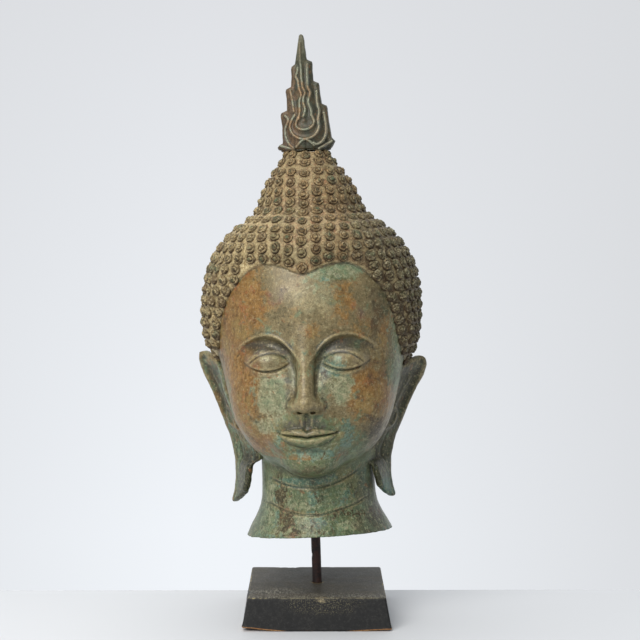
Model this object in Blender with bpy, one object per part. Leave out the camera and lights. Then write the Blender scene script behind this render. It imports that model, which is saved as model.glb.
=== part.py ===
"""A bronze Buddha head with curled hair and a flame on its crown, held by an iron rod in a painted wooden block.

The bronze is a casting about 5 mm thick. The head's hair is modelled at the height of its curls' tips; the
curls themselves are finer relief. Lengths in the sizes below are millimetres, and the objects are in metres."""

import math

import bmesh
import bpy
import numpy as np
from mathutils import Matrix

MM = 0.001

# ---------------------------------------------------------------- sizes of the stand, mm
BLOCK_FOOT_W, BLOCK_FOOT_D = 154.0, 154.0
BLOCK_TOP_W, BLOCK_TOP_D = 141.4, 143.0
BLOCK_H = 33.8
BLOCK_EDGE = 0.9                   # worn round on its edges
ROD_R = 5.0
ROD_LEAN = -1.9                    # degrees, towards the viewer's left
ROD_X = 0.57                       # where it leaves the block
ROD_SUNK = 20.0                    # into the block
GAP = 0.3                          # between pieces that touch
WALL = 6.0                         # of the neck, at its open end
HOLLOW_Z = 119.0                   # the hollow's ceiling, in the head's frame

CORNERS = np.array([[i & 1, (i >> 1) & 1, (i >> 2) & 1] for i in range(8)], np.int64)
EDGES = [(0, 1), (2, 3), (4, 5), (6, 7), (0, 2), (1, 3), (4, 6), (5, 7), (0, 4), (1, 5), (2, 6), (3, 7)]


# ---------------------------------------------------------------- helpers: distances below zero are inside
def smin(a, b, k):
    h = np.clip(0.5 + 0.5 * (b - a) / k, 0, 1)
    return b + (a - b) * h - k * h * (1 - h)


def smax(a, b, k):
    return -smin(-a, -b, k)


def ramp(a, b, x):
    t = np.clip((x - a) / (b - a), 0, 1)
    return t * t * (3 - 2 * t)


def bell(x, w):
    return np.exp(-(x / w) ** 2)


def track(stations, samples=600):
    """A smooth line through (position, value) stations that doesn't overshoot."""
    s = np.array(sorted(stations), float)
    x, y = s[:, 0], s[:, 1]
    h, d = np.diff(x), np.diff(y) / np.diff(x)
    both = d[1:] * d[:-1]
    m = np.concatenate([[d[0]], np.where(both > 0, 2 * both / np.where(both > 0, d[1:] + d[:-1], 1), 0), [d[-1]]])
    gx = np.linspace(x[0], x[-1], samples)
    i = np.clip(np.searchsorted(x, gx, side="right") - 1, 0, len(h) - 1)
    t = (gx - x[i]) / h[i]
    gy = ((1 + 2 * t) * (1 - t) ** 2 * y[i] + t * (1 - t) ** 2 * h[i] * m[i]
          + t * t * (3 - 2 * t) * y[i + 1] + t * t * (t - 1) * h[i] * m[i + 1])
    return lambda q: np.interp(q, gx, gy)


def ellipsoid(p, c, r):
    r = np.array(r, float)
    q = (p - np.array(c, float)) / r
    a = np.sqrt((q * q).sum(1))
    b = np.sqrt(((q / r) ** 2).sum(1))
    return a * (a - 1) / np.maximum(b, 1e-9)


def taper(p, a, b, ra, rb):
    """A round bar from a to b whose radius goes from ra to rb."""
    a, b = np.array(a, float), np.array(b, float)
    d = b - a
    t = np.clip(((p - a) @ d) / (d @ d), 0, 1)
    return np.linalg.norm(p - a - t[:, None] * d, axis=1) - (ra + (rb - ra) * t)


class Chart:
    """A flat drawing on a square grid, read between its points."""

    def __init__(self, lo, hi, step, draw):
        self.lo, self.step = np.array(lo, float), step
        self.n = np.ceil((np.array(hi, float) - self.lo) / step).astype(int) + 1
        g = np.stack(np.meshgrid(*[np.arange(k) for k in self.n], indexing="ij"), -1).reshape(-1, 2)
        self.value = draw(self.lo + g * step).reshape(self.n)

    def __call__(self, u, v):
        a = np.clip((u - self.lo[0]) / self.step, 0, self.n[0] - 1.001)
        b = np.clip((v - self.lo[1]) / self.step, 0, self.n[1] - 1.001)
        i, j = a.astype(int), b.astype(int)
        a, b = a - i, b - j
        w = self.value
        return (w[i, j] * (1 - a) + w[i + 1, j] * a) * (1 - b) + (w[i, j + 1] * (1 - a) + w[i + 1, j + 1] * a) * b


def to_line(q, line):
    """Distance from each point to a run of straight bits, and how far along it the nearest place is, 0 to 1."""
    line = np.asarray(line, float)
    best, along = np.full(len(q), 1e9), np.zeros(len(q))
    step = np.linalg.norm(np.diff(line, axis=0), axis=1)
    start = np.concatenate([[0], np.cumsum(step)])
    for i in range(len(step)):
        d = line[i + 1] - line[i]
        t = np.clip(((q - line[i]) @ d) / max(d @ d, 1e-12), 0, 1)
        r = np.linalg.norm(q - line[i] - t[:, None] * d, axis=1)
        hit = r < best
        best = np.where(hit, r, best)
        along = np.where(hit, (start[i] + t * step[i]) / start[-1], along)
    return best, along


def outline(q, ring):
    """Signed distance to a closed outline."""
    ring = np.asarray(ring, float)
    best, _ = to_line(q, np.concatenate([ring, ring[:1]]))
    inside = np.zeros(len(q), bool)
    for a, b in zip(ring, np.roll(ring, -1, axis=0)):
        if a[1] == b[1]:
            continue
        cross = (a[1] > q[:, 1]) != (b[1] > q[:, 1])
        inside ^= cross & (q[:, 0] < (b[0] - a[0]) * (q[:, 1] - a[1]) / (b[1] - a[1]) + a[0])
    return np.where(inside, -best, best)


# ---------------------------------------------------------------- the head's sizes, mm, in its own upright frame
# +X is the viewer's right, -Y the way the head faces, Z up from the underside of the base
RISE = 8.0                         # heights below are from a level this far above the ground
HEAD_FOOT = (3.2, 0.0, 84.0)       # where the head's axis leaves the neck
HEAD_LEAN = -1.95                  # degrees from upright, towards the viewer's left
HEAD_TURN = -5.0                   # degrees about its own axis, towards the viewer's left
CUT = (79.4, 3.0, -6.5)            # the neck's cut: height on the axis, rise to the viewer's right, fall to the back
HAIRLINE_Z = 362.0                 # middle of the forehead
CHIN_Z = 150.0
THIRD = (HAIRLINE_Z - CHIN_Z) / 3  # hairline to brow, brow to nose, nose to chin
BROW_Z = CHIN_Z + 2 * THIRD
NOSE_Z = CHIN_Z + THIRD
EYE_Z = BROW_Z - 0.30 * THIRD
MOUTH_Z = NOSE_Z - THIRD / 3
EYE_W = 37.0                       # a fifth of the face's breadth
MOUTH_HALF = 0.80 * EYE_W
HAIR_HALF_W = 110.6                # the cap under its curls
HAIR_FRONT = 103.8                 # from the cap's middle
HAIR_BACK = 112.0
CAP_Y, CAP_Z = 4.0, 325.0
CAP_RISE, CAP_DROP = 99.5, 158.0
CAP_FULL, CAP_FULL_FRONT = 2.16, 3.0   # squarer than an ellipse, 2, above its middle, and most in front
KNOT_X, KNOT_Y, KNOT_TOP_Z = 0.9, 2.0, 481.0
KNOT_DEEP = 1.06                   # its depth to its width
KNOT = track([(380, 55.0), (408, 54.0), (420, 52.0), (427, 50.2), (433, 48.0), (439, 45.5), (445, 42.2), (452, 38.5), (458, 34.0), (464, 30.0), (471, 24.8), (477, 20.5), (484, 16.0)])
CURL_PROUD = 5.4
EDGE_PROUD = 2.6                   # how far the cap's edge stands off the skin
NECK_X, NECK_Y = 0.1, 6.0
NECK = track([(52, 87.5), (60, 84.4), (68, 81.6), (76, 78.6), (84, 75.2), (91, 71.6), (98, 67.6), (106, 63.9), (112, 61.8), (124, 60.0), (150, 59.4), (190, 60.0), (230, 62.0)])

# the hair's edge: its height around the head, by the angle from the front in degrees
HAIR_EDGE = track([(0, 358.3), (2, 358.6), (6, 360.8), (11, 364.6), (19, 367.8), (26, 368.0), (33, 364.5), (41, 355.0), (46, 347.0), (52, 335.0), (59, 314.0), (65, 293.0),
                   (72, 277.0), (84, 268.0), (98, 256.0), (112, 234.0), (126, 208.0), (145, 190.0), (165, 181.0), (180, 179.0)], 900)


def hair_margin(p):
    """How far inside the hair's edge a point lies, along the skin. Over the right ear, which sits lower, so does the edge."""
    a = np.degrees(np.arctan2(np.abs(p[:, 0]), -(p[:, 1] - CAP_Y)))
    slope = (HAIR_EDGE(a + 0.5) - HAIR_EDGE(a - 0.5)) / np.maximum(np.hypot(p[:, 0], p[:, 1] - CAP_Y) * math.radians(1.0), 0.4)
    edge = HAIR_EDGE(a) - 7.0 * ramp(46, 70, a) * (1 - ramp(100, 150, a)) * ramp(-20, 20, p[:, 0])
    return (p[:, 2] - edge) / np.sqrt(1 + slope * slope)


def hair_body(p):
    """The cap and the crown's knot, under the curls."""
    x, y, z = p.T
    ahead = np.where(y < CAP_Y, CAP_FULL_FRONT - CAP_FULL, 0.15) * (y - CAP_Y) ** 2 / np.maximum(x * x + (y - CAP_Y) ** 2, 1e-6)
    n = np.where(z > CAP_Z, CAP_FULL + ahead, 2.0)
    c = np.where(z > CAP_Z, CAP_RISE, CAP_DROP)
    b = np.where(y < CAP_Y, HAIR_FRONT, HAIR_BACK)
    half = HAIR_HALF_W + 3.4 * ramp(350, 300, z) * ramp(-40, -90, x)   # fuller low on the left
    u, v, w = x / half, (y - CAP_Y) / b, np.abs(z - CAP_Z) / c
    rho = np.maximum(np.hypot(u, v), 1e-6)
    a = (rho ** n + w ** n) ** (1 / n)
    g = np.sqrt(rho ** (2 * n - 4) * ((u / half) ** 2 + (v / b) ** 2) + (w ** (n - 1) / c) ** 2)
    cap = (a - 1) * a ** (n - 1) / np.maximum(g, 1e-9)
    w = KNOT(z)
    slope = (KNOT(z + 1) - KNOT(z - 1)) / 2
    knot = (np.hypot(x - KNOT_X * ramp(478, 440, z), (y - KNOT_Y) / KNOT_DEEP) - w) / np.sqrt(1 + slope * slope)
    knot = smax(knot, z - KNOT_TOP_Z - 2.0, 2.0)
    return smin(cap, knot, 11.0)


def neck(p):
    x, y, z = p.T
    slope = (NECK(z + 1) - NECK(z - 1)) / 2
    r = np.hypot(x - NECK_X, (y - NECK_Y) * 0.98)
    f = (r - NECK(z)) / np.sqrt(1 + slope * slope)
    return smax(f, z - 232.0, 8.0)


# ---------------------------------------------------------------- the face: a calm, plain one, on the thirds above
def brow_line(ax):
    """The brow's arch, from the root of the nose to the temple."""
    inner = BROW_Z + 6.0 - 25.0 * np.clip((40.0 - ax) / 34.0, 0, 1.2) ** 2.1
    outer = BROW_Z + 6.0 - 22.0 * np.clip((ax - 40.0) / 38.0, 0, 1.4) ** 1.9
    return np.where(ax < 40, inner, outer)


def lid_line(ax):
    """The edge of the lowered upper lid."""
    u = (ax - EYE_W) / (0.53 * EYE_W)
    return EYE_Z - 7.5 + 5.0 * u * u - 1.2 * u


def mouth_line(ax):
    u = ax / MOUTH_HALF
    return MOUTH_Z - 0.4 + 2.6 * u * u - 1.0 * bell(ax, 4.5)


def face_mass(p):
    q = np.stack([np.abs(p[:, 0]), p[:, 1], p[:, 2]], 1)
    f = ellipsoid(p, (0, 4, 318), (96.5, 105.5, 98))
    f = smin(f, ellipsoid(p, (0, -19, 262), (92.5, 84.0, 90)), 14)
    f = smin(f, ellipsoid(p, (0, -30, 221), (81.0, 70.5, 71)), 14)
    f = smin(f, ellipsoid(p, (0, -70, 169), (28, 27.5, 18.5)), 16)
    return smin(f, ellipsoid(q, (44, -56, 232), (32, 32, 38)), 16)


def face_relief(p):
    """What the features add to the face's mass, inwards above zero, or the features themselves, joined to it."""
    x, y, z = p.T
    ax = np.abs(x)
    q = np.stack([ax, y, z], 1)
    d = face_mass(p)
    # eye sockets, under the arch of the brow
    below = brow_line(ax) - z
    depth = 8.0 * bell(ax - 14, 19) + 4.6 * bell(ax - 44, 24)
    hollow = depth * ramp(-1.5, 6.5, below) * (1 - ramp(12, 44, below)) * (1 - ramp(66, 84, ax))
    ridge = 1.0 * bell(below + 0.8, 2.4) * ramp(8, 16, ax) * (1 - ramp(62, 76, ax))
    d = d + hollow - ridge
    # lids over the eyeballs
    u = (ax - EYE_W) / (0.53 * EYE_W)
    lid = lid_line(ax)
    ball = (EYE_W, -76.5, EYE_Z - 2)
    upper = ellipsoid(q, ball, (25.0, 22.5, 20.5))
    lower = ellipsoid(q, ball, (23.5, 20.6, 19.0))
    d = smin(d, lower + (upper - lower) * ramp(-0.7, 0.7, z - lid), 4.0)
    d = d + 1.9 * bell(z - lid + 1.0, 1.0) * (1 - ramp(0.80, 1.05, np.abs(u)))
    d = d + 0.8 * bell(z - lid - 17.5 + 5.0 * u * u, 1.3) * (1 - ramp(0.75, 1.1, np.abs(u)))
    # nose
    nose = taper(p, (0, -94.5, BROW_Z + 4), (0, -113.0, NOSE_Z + 9.5), 6.0, 8.2)
    nose = smin(nose, ellipsoid(p, (0, -114.5, NOSE_Z + 7.5), (9.4, 9.0, 8.0)), 4)
    d = smin(d, nose, 9)
    d = smin(d, ellipsoid(q, (11.4, -103.5, NOSE_Z + 5.6), (7.2, 10.5, 6.8)), 4.5)
    d = smax(d, -ellipsoid(q, (6.6, -108.5, NOSE_Z - 1.2), (3.9, 6.0, 3.6)), 1.6)
    # muzzle, lips, the groove above them and the hollow over the chin
    d = smin(d, ellipsoid(p, (0, -84.5, MOUTH_Z + 1), (38, 18.5, 24)), 14)
    v = np.clip(ax / MOUTH_HALF, 0, 1)
    line = mouth_line(ax)
    top = line + 8.3 * (1 - v ** 2.2) ** 0.85 - 1.7 * bell(ax, 4.2) + 0.05
    low = line - 10.0 * (1 - v ** 2.4) ** 0.75 - 0.05
    tu = np.clip((z - line) / np.maximum(top - line, 0.3), 0, 1)
    tl = np.clip((line - z) / np.maximum(line - low, 0.3), 0, 1)
    lips = np.where(z > line, 4.0 * np.sin(np.pi * 0.97 * tu ** 0.75 + 0.01) ** 0.8 * (tu < 1), 4.8 * np.sin(np.pi * 0.98 * tl ** 0.72 + 0.01) ** 0.85 * (tl < 1))
    d = d - lips * (1 - v ** 3)
    d = d + 2.2 * bell(z - line, 1.1) * (1 - ramp(0.93, 1.10, ax / MOUTH_HALF))
    d = d + 1.8 * bell(np.hypot(ax - MOUTH_HALF - 0.8, z - line), 3.2)
    over_lip = ramp(MOUTH_Z + 6.5, MOUTH_Z + 10, z) * (1 - ramp(NOSE_Z - 4, NOSE_Z + 1, z))
    d = d + (1.5 * bell(ax, 3.3) - 0.7 * bell(ax - 6.0, 2.6)) * over_lip
    d = d + 2.8 * bell(z - (MOUTH_Z - 15.5), 5.5) * bell(ax, 22)
    return d


def face(p):
    f = np.full(len(p), 40.0)
    near = face_mass(p)
    front = (near < 30) & (near > -40) & (p[:, 1] < -40) & (p[:, 2] > 128) & (p[:, 2] < 345)
    f = near
    if front.any():
        f = near.copy()
        f[front] = face_relief(p[front])
    return f


# ---------------------------------------------------------------- ears: long, standing out above, the lobes hanging free
EAR_TOP_Z, EAR_TIP_Z = 273.0, 116.5
EAR_SPAN = ((112.6, 274.8), (115.2, 263.6))   # tip and top of each, the left one first: the right ear is shorter
EAR_X = track([(110, -6.6), (150, -6.4), (270, -4.8), (290, -4.6)])   # the middle between the two, off the head's axis
EAR_RIM_X = track([(114, 84.4), (120, 83.0), (128, 81.0), (142, 79.3), (158, 79.6), (170, 81.6), (182, 84.6), (195, 90.2), (207, 95.2), (220, 100.4), (234, 107.0), (250, 115.6), (262, 118.8), (270, 118.6), (276, 116.4)])
EAR_RIM_Y = track([(114, 14.0), (128, 17.0), (148, 18.5), (168, 20.5), (200, 27.0), (232, 36.0), (252, 40.0), (264, 37.0), (276, 30.0)])
EAR_ROOT_X = track([(114, 79.0), (120, 76.0), (126, 73.0), (136, 68.8), (144, 66.6), (150, 64.8), (156, 63.8), (159, 61.5), (162, 56.0), (165, 54.5), (168, 54.5), (184, 60.0), (200, 71.0), (232, 84.0), (255, 89.0), (266, 93.0), (276, 97.0)])
EAR_ROOT_LEFT = track([(116, -1.0), (121, -2.8), (127, -3.2), (132, -1.2), (142, -1.0), (148, 0.0)])   # more than that, on each side
EAR_ROOT_RIGHT = track([(124, 0.0), (130, 1.8), (136, 2.8), (144, 3.6), (152, 3.6), (158, 2.0), (163, 0.0)])
EAR_ROOT_Y = track([(114, -4.0), (128, -10.0), (148, -13.0), (168, -12.0), (200, -10.0), (232, -9.0), (255, -8.0), (266, -5.0), (276, 0.0)])


def ear_height(p):
    """Height within the pattern that both ears follow."""
    (a, b), (c, d) = EAR_SPAN
    left = p[:, 0] < 0
    low, tall = np.where(left, a, c), np.where(left, b - a, d - c)
    return EAR_TIP_Z + (p[:, 2] - low) * (EAR_TOP_Z - EAR_TIP_Z) / tall


def ear_place(p):
    """Across the ear from its front edge, 0, to its rim, 1, and the distance off its middle sheet, outwards."""
    z = np.clip(ear_height(p), EAR_TIP_Z - 2, 276)
    q0 = np.abs(p[:, 0] - EAR_X(z))
    ax = EAR_ROOT_X(z) + np.where(p[:, 0] < EAR_X(z), EAR_ROOT_LEFT(z), EAR_ROOT_RIGHT(z))
    ay, bx, by = EAR_ROOT_Y(z), EAR_RIM_X(z), EAR_RIM_Y(z)
    dx, dy = bx - ax, by - ay
    length = np.hypot(dx, dy)
    t = ((q0 - ax) * dx + (p[:, 1] - ay) * dy) / (length * length)
    side = (q0 - ax) * dy / length - (p[:, 1] - ay) * dx / length
    return t, side, length


def ear_relief(t, z):
    """How much thicker than its plain sheet the ear's outer face is."""
    up = ramp(190, 228, z)
    rim = bell(t - 0.92, 0.10) * (0.3 + 0.7 * up)
    fold = bell(t - 0.55, 0.11) * up
    bowl = bell(t - 0.74, 0.09) * up + bell(t - 0.24, 0.17) * ramp(200, 222, z) * (1 - ramp(254, 266, z))
    slit = (bell(t - 0.38, 0.07) + 0.7 * bell(t - 0.68, 0.06)) * ramp(134, 148, z) * (1 - ramp(186, 200, z))
    return 2.4 * rim + 1.5 * fold - 1.7 * bowl - 1.5 * slit + 0.7 * (1 - up)


def ears(p):
    t, side, length = ear_place(p)
    z = ear_height(p)
    s = np.clip(t, 0, 1)
    off = np.hypot((t - s) * length, side)
    half = 3.4 + ear_relief(t, z) * ramp(-1.0, 1.0, side)
    f = off - half
    arch = np.where(t > 0.78, 7.0 * ((t - 0.78) / 0.28) ** 2, 15.0 * ((0.78 - t) / 0.78) ** 2)
    f = smax(f, z - (EAR_TOP_Z - 1.0 - np.minimum(arch, 22.0)), 4.0)
    # the lobe's end runs up from its tip to its inner edge
    slope = 28.0 * (1 - s) / length
    return smax(f, (EAR_TIP_Z - z + 14.0 * (1 - s) ** 2 - 1.0) / np.sqrt(1 + slope * slope) * 0.95, 3.5) * 0.92


# ---------------------------------------------------------------- the head put together
def skin(p):
    """Face, skull, neck and ears, without hair."""
    f = smin(face(p), hair_body(p) + 6.5, 6.0)
    f = smin(f, neck(p), 10.0)
    near = (np.abs(p[:, 0] + 5.0) > 48) & (np.abs(p[:, 1] - 10) < 50) & (p[:, 2] > 100) & (p[:, 2] < 290)
    if near.any():
        f[near] = smin(f[near], ears(p[near]), 1.6 + 1.9 * ramp(154, 166, p[near][:, 2]))
    return f


def skull(p):
    """The same without ears and features, to lay the hair on."""
    return smin(smin(face_mass(p), hair_body(p) + 6.5, 6.0), neck(p), 10.0)


def hair(p, proud=0.0):
    """The hair's solid: a thin step at its edge, the full cap within."""
    m = hair_margin(p)
    s = skull(p) - EDGE_PROUD
    t = ramp(-2, 26, m)
    f = (1 - t) * s + t * np.minimum(hair_body(p), s) - proud
    return smax(f, -m - 0.25 * proud, 1.5)


def from_head(p):
    """Points of the head's own frame in the part's frame."""
    a, b = math.radians(HEAD_TURN), math.radians(HEAD_LEAN)
    foot = np.array(HEAD_FOOT)
    q = np.asarray(p, float) - np.array([0, 0, HEAD_FOOT[2]])
    x, y, z = q[:, 0] * math.cos(a) - q[:, 1] * math.sin(a), q[:, 0] * math.sin(a) + q[:, 1] * math.cos(a), q[:, 2]
    x, z = x * math.cos(b) + z * math.sin(b), -x * math.sin(b) + z * math.cos(b)
    return np.stack([x, y, z + RISE], 1) + foot


def above_cut(p):
    """Distance above the neck's slanting cut, of points in the head's frame."""
    w = from_head(p)
    h, right, back = CUT[0] + RISE, math.tan(math.radians(CUT[1])), math.tan(math.radians(CUT[2]))
    return (w[:, 2] - h - right * w[:, 0] - back * w[:, 1]) / math.sqrt(1 + right * right + back * back)


# ---------------------------------------------------------------- the flame, mm, in its own frame: Z up from its foot
FLAME_FOOT = (0.0, 3.0, KNOT_TOP_Z + 0.3)   # in the head's frame
FLAME_LEAN = -0.9                            # degrees more than the head
FLAME_TALL = 121.7
# each leaf's tip height, half-width at its tip and half-width at its foot, from the lowest up
LEAVES_RIGHT = [(11.2, 30.6, 24.4), (47.2, 24.0, 27.4), (71.0, 16.9, 18.6), (93.6, 10.9, 11.2)]
LEAVES_LEFT = [(7.4, 31.0, 25.6), (41.8, 25.8, 25.2), (66.2, 19.5, 19.2), (89.2, 12.5, 13.8)]
SPIKE_FOOT = (5.2, 8.4)                      # the top spike's half-widths, right and left
FLAME_BODY_W = track([(-1, 22.0), (6, 24.0), (14, 24.2), (30, 22.0), (46, 17.2), (68, 11.5), (90, 6.2), (104, 4.6), (116, 3.2), (124, 1.6)])
FLAME_BODY_D = track([(-1, 20.5), (8, 21.5), (20, 21.5), (34, 19.5), (50, 15.0), (70, 10.6), (90, 6.8), (104, 4.6), (116, 3.2), (124, 1.6)])


def flame_ring():
    ring = []
    for side, leaves, spike in ((1, LEAVES_RIGHT, SPIKE_FOOT[0]), (-1, LEAVES_LEFT, SPIKE_FOOT[1])):
        run, foot_h = [], 0.0
        for tip_h, tip_w, foot_w in leaves:
            waist = 0.5 * (tip_w + foot_w) - 0.5
            if foot_h == 0:            # the lowest leaf turns up and out, round at its end
                run += [(foot_w, 0.0), (foot_w + 2.2, 1.4), (tip_w - 1.4, tip_h - 5.0), (tip_w, tip_h - 2.6), (tip_w, tip_h - 0.8), (tip_w - 1.3, tip_h)]
            else:
                run += [(foot_w, foot_h), (waist, 0.5 * (foot_h + tip_h)), (tip_w + 0.3, tip_h - 3.0), (tip_w - 0.5, tip_h)]
            foot_h = tip_h + 2.4
        run += [(spike, foot_h), (spike * 0.66, foot_h + 12), (3.2, 115.0), (2.3, 120.4)]
        ring += [(side * w, h) for w, h in (run if side > 0 else run[::-1])]
        if side > 0:
            ring.append((0.0, FLAME_TALL + 0.3))
    return ring


FLAME_EDGE = Chart((-36, -6), (36, 130), 0.5, lambda q: outline(q, flame_ring()))


def flame(p):
    x, y, h = p.T
    w, d = FLAME_BODY_W(h), FLAME_BODY_D(h)
    a = np.sqrt((x / w) ** 2 + (y / d) ** 2)
    g = np.sqrt((x / w ** 2) ** 2 + (y / d ** 2) ** 2)
    body = a * (a - 1) / np.maximum(g, 1e-9) * 0.93
    edge = FLAME_EDGE(x, h) + 1.0
    thick = 7.5 - 3.8 * ramp(20, 95, h) - 0.12 * np.maximum(np.abs(x) - 14, 0)
    leaves = smax(edge, np.abs(y) - thick, 3.0) - 1.0
    f = smin(body, leaves, 2.0)
    f = smax(f, FLAME_EDGE(x, h), 2.0)
    return smax(f, -h, 0.4)


def from_flame(p):
    """Points of the flame's own frame in the head's frame."""
    b = math.radians(FLAME_LEAN)
    x, y, z = np.asarray(p, float).T
    return np.stack([x * math.cos(b) + z * math.sin(b), y, -x * math.sin(b) + z * math.cos(b)], 1) + np.array(FLAME_FOOT)


# ---------------------------------------------------------------- surface from a solid's field
def cell_patches():
    """For each of a cell's 256 sign patterns, which sheet of skin each of its 12 edges lies on."""
    table, count = np.zeros((256, 12), np.int64), np.zeros(256, np.int64)
    sides = []
    for axis in range(3):
        for level in (0, 1):
            on = [e for e, (a, b) in enumerate(EDGES) if (a >> axis) & 1 == level and (b >> axis) & 1 == level]
            sides.append(on)
    for pattern in range(256):
        inside = [(pattern >> c) & 1 for c in range(8)]
        crossed = [e for e, (a, b) in enumerate(EDGES) if inside[a] != inside[b]]
        group = {e: e for e in crossed}

        def root(e):
            while group[e] != e:
                e = group[e]
            return e

        for on in sides:
            cut_here = [e for e in on if e in group]
            if len(cut_here) == 2:
                group[root(cut_here[0])] = root(cut_here[1])
            elif len(cut_here) == 4:
                # two corners in, two out: the skin goes round each corner that is in
                for c in {k for e in cut_here for k in EDGES[e] if inside[k]}:
                    a, b = [e for e in cut_here if c in EDGES[e]]
                    group[root(a)] = root(b)
        names = sorted({root(e) for e in crossed})
        count[pattern] = len(names)
        for e in crossed:
            table[pattern, e] = names.index(root(e))
    return table, count


def sample_surface(field, lo, hi, step, levels=3, reach=1.9):
    """Points and quads of the skin where field() is zero, on a grid of the given step, found by halving
    coarse cells that the skin may pass through."""
    lo, hi = np.asarray(lo, float), np.asarray(hi, float)
    size = step * 2 ** levels
    n = np.ceil((hi - lo) / size).astype(np.int64)
    g = np.stack(np.meshgrid(*[np.arange(k) for k in n], indexing="ij"), -1).reshape(-1, 3)
    for level in range(levels + 1):
        if level:
            g = (g[:, None, :] * 2 + CORNERS[None]).reshape(-1, 3)
            size *= 0.5
        if level < levels or levels > 2:
            g = g[np.abs(field(lo + (g + 0.5) * size)) < (reach if level < levels else 2.2) * 0.87 * size + 1.0]
    n = n * 2 ** levels + 2
    stride = np.array([1, n[0], n[0] * n[1]], np.int64)
    cell_key = np.sort(g @ stride)
    corner_key = np.unique((cell_key[:, None] + (CORNERS @ stride)[None]).reshape(-1))

    def place(key):
        return np.stack([key % n[0], (key // n[0]) % n[1], key // (n[0] * n[1])], -1)

    value = field(lo + place(corner_key) * step)
    at = np.searchsorted(corner_key, cell_key[:, None] + (CORNERS @ stride)[None])
    pattern = ((value[at] < 0) * (1 << np.arange(8))[None]).sum(1)
    mixed = (pattern > 0) & (pattern < 255)
    cell_key, at, pattern = cell_key[mixed], at[mixed], pattern[mixed]
    table, count = cell_patches()
    base = np.concatenate([[0], np.cumsum(count[pattern])])
    # a sheet's point in a cell is the mean of its crossings there
    total, crossings = np.zeros((base[-1], 3)), np.zeros(base[-1])
    v = value[at]
    for e, (a, b) in enumerate(EDGES):
        cells = np.nonzero((v[:, a] < 0) != (v[:, b] < 0))[0]
        t = v[cells, a] / (v[cells, a] - v[cells, b])
        which = base[cells] + table[pattern[cells], e]
        np.add.at(total, which, CORNERS[a] + t[:, None] * (CORNERS[b] - CORNERS[a]))
        np.add.at(crossings, which, 1)
    cell_of = np.repeat(np.arange(len(cell_key)), count[pattern])
    points = lo + (place(cell_key)[cell_of] + total / crossings[:, None]) * step
    quads = []
    for axis in range(3):
        u, w = (axis + 1) % 3, (axis + 2) % 3
        there = np.minimum(np.searchsorted(corner_key, corner_key + stride[axis]), len(corner_key) - 1)
        real = corner_key[there] == corner_key + stride[axis]
        hit = real & ((value < 0) != (value[there] < 0))
        key, leaving = corner_key[hit], value[hit] < 0
        ring, whole = [], np.ones(len(key), bool)
        for du, dw in ((0, 0), (1, 0), (1, 1), (0, 1)):
            cell = key - du * stride[u] - dw * stride[w]
            found = np.minimum(np.searchsorted(cell_key, cell), len(cell_key) - 1)
            whole &= cell_key[found] == cell
            low = (du << u) | (dw << w)
            e = EDGES.index((low, low | (1 << axis)))
            ring.append(base[found] + table[pattern[found], e])
        ring = np.stack(ring, 1)[whole]
        quads.append(np.where(leaving[whole][:, None], ring, ring[:, ::-1]))
    return points, np.concatenate(quads)


def gradient(field, p, e):
    k = np.array([[1, -1, -1], [-1, -1, 1], [-1, 1, -1], [1, 1, 1]], float)
    return sum(k[i] * field(p + k[i] * e)[:, None] for i in range(4)) / (4 * e)


def settle(field, p, step, times=2):
    """Moves points onto the skin."""
    for _ in range(times):
        g = gradient(field, p, 0.2 * step)
        d = field(p)
        m = np.maximum((g * g).sum(1), 0.09)
        move = -(d / m)[:, None] * g
        size = np.linalg.norm(move, axis=1)
        p = p + move * np.minimum(1.0, 0.7 * step / np.maximum(size, 1e-9))[:, None]
    return p


def relax(field, p, quads, step, times=2, share=0.5):
    """Evens out the points along the skin, and puts them back on it."""
    a = quads.reshape(-1)
    b = np.roll(quads, -1, axis=1).reshape(-1)
    n = len(p)
    deg = np.bincount(a, minlength=n) + np.bincount(b, minlength=n)
    for _ in range(times):
        mean = np.stack([np.bincount(a, p[b, i], n) + np.bincount(b, p[a, i], n) for i in range(3)], -1)
        p = p + share * (mean / np.maximum(deg, 1)[:, None] - p)
        p = settle(field, p, step, 1)
    return settle(field, p, step, 2)


# ---------------------------------------------------------------- the solids
def head_solid(p):
    f = smin(skin(p), hair(p, CURL_PROUD), 0.8)
    return smax(smax(f, p[:, 2] - KNOT_TOP_Z - 4.0, 0.6), 54.0 - p[:, 2], 0.6)


def flame_solid(p):
    """The flame, run a little below its foot, so that a flat cut makes its seat."""
    return smax(flame(p), -p[:, 2] - 4.0, 0.5)


def clear():
    for obj in list(bpy.data.objects):
        bpy.data.objects.remove(obj, do_unlink=True)


def coat(obj, name, colour, rough, metal):
    """One Principled BSDF for one piece."""
    mat = bpy.data.materials.new(name)
    mat.use_nodes = True
    bsdf = mat.node_tree.nodes["Principled BSDF"]
    bsdf.inputs["Base Color"].default_value = (*colour, 1.0)
    bsdf.inputs["Roughness"].default_value = rough
    bsdf.inputs["Metallic"].default_value = metal
    obj.data.materials.append(mat)


def put(name, mesh, parent=None):
    obj = bpy.data.objects.new(name, mesh)
    bpy.context.scene.collection.objects.link(obj)
    if parent is not None:
        obj.parent = parent
    return obj


def cast(name, field, lo, hi, step, faces, parent):
    """A casting: the field's skin, with as few triangles as keep its form."""
    p, quads = sample_surface(field, lo, hi, step, 2)
    p = relax(field, p, quads, step, 2)
    mesh = bpy.data.meshes.new(name)
    mesh.from_pydata((p * MM).tolist(), [], quads.tolist())
    mesh.update()
    mesh.shade_smooth()
    obj = put(name, mesh, parent)
    thin = obj.modifiers.new("fewer_faces", "DECIMATE")
    thin.ratio = faces / (2.0 * len(quads))
    thin.use_collapse_triangulate = True
    return obj


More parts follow.
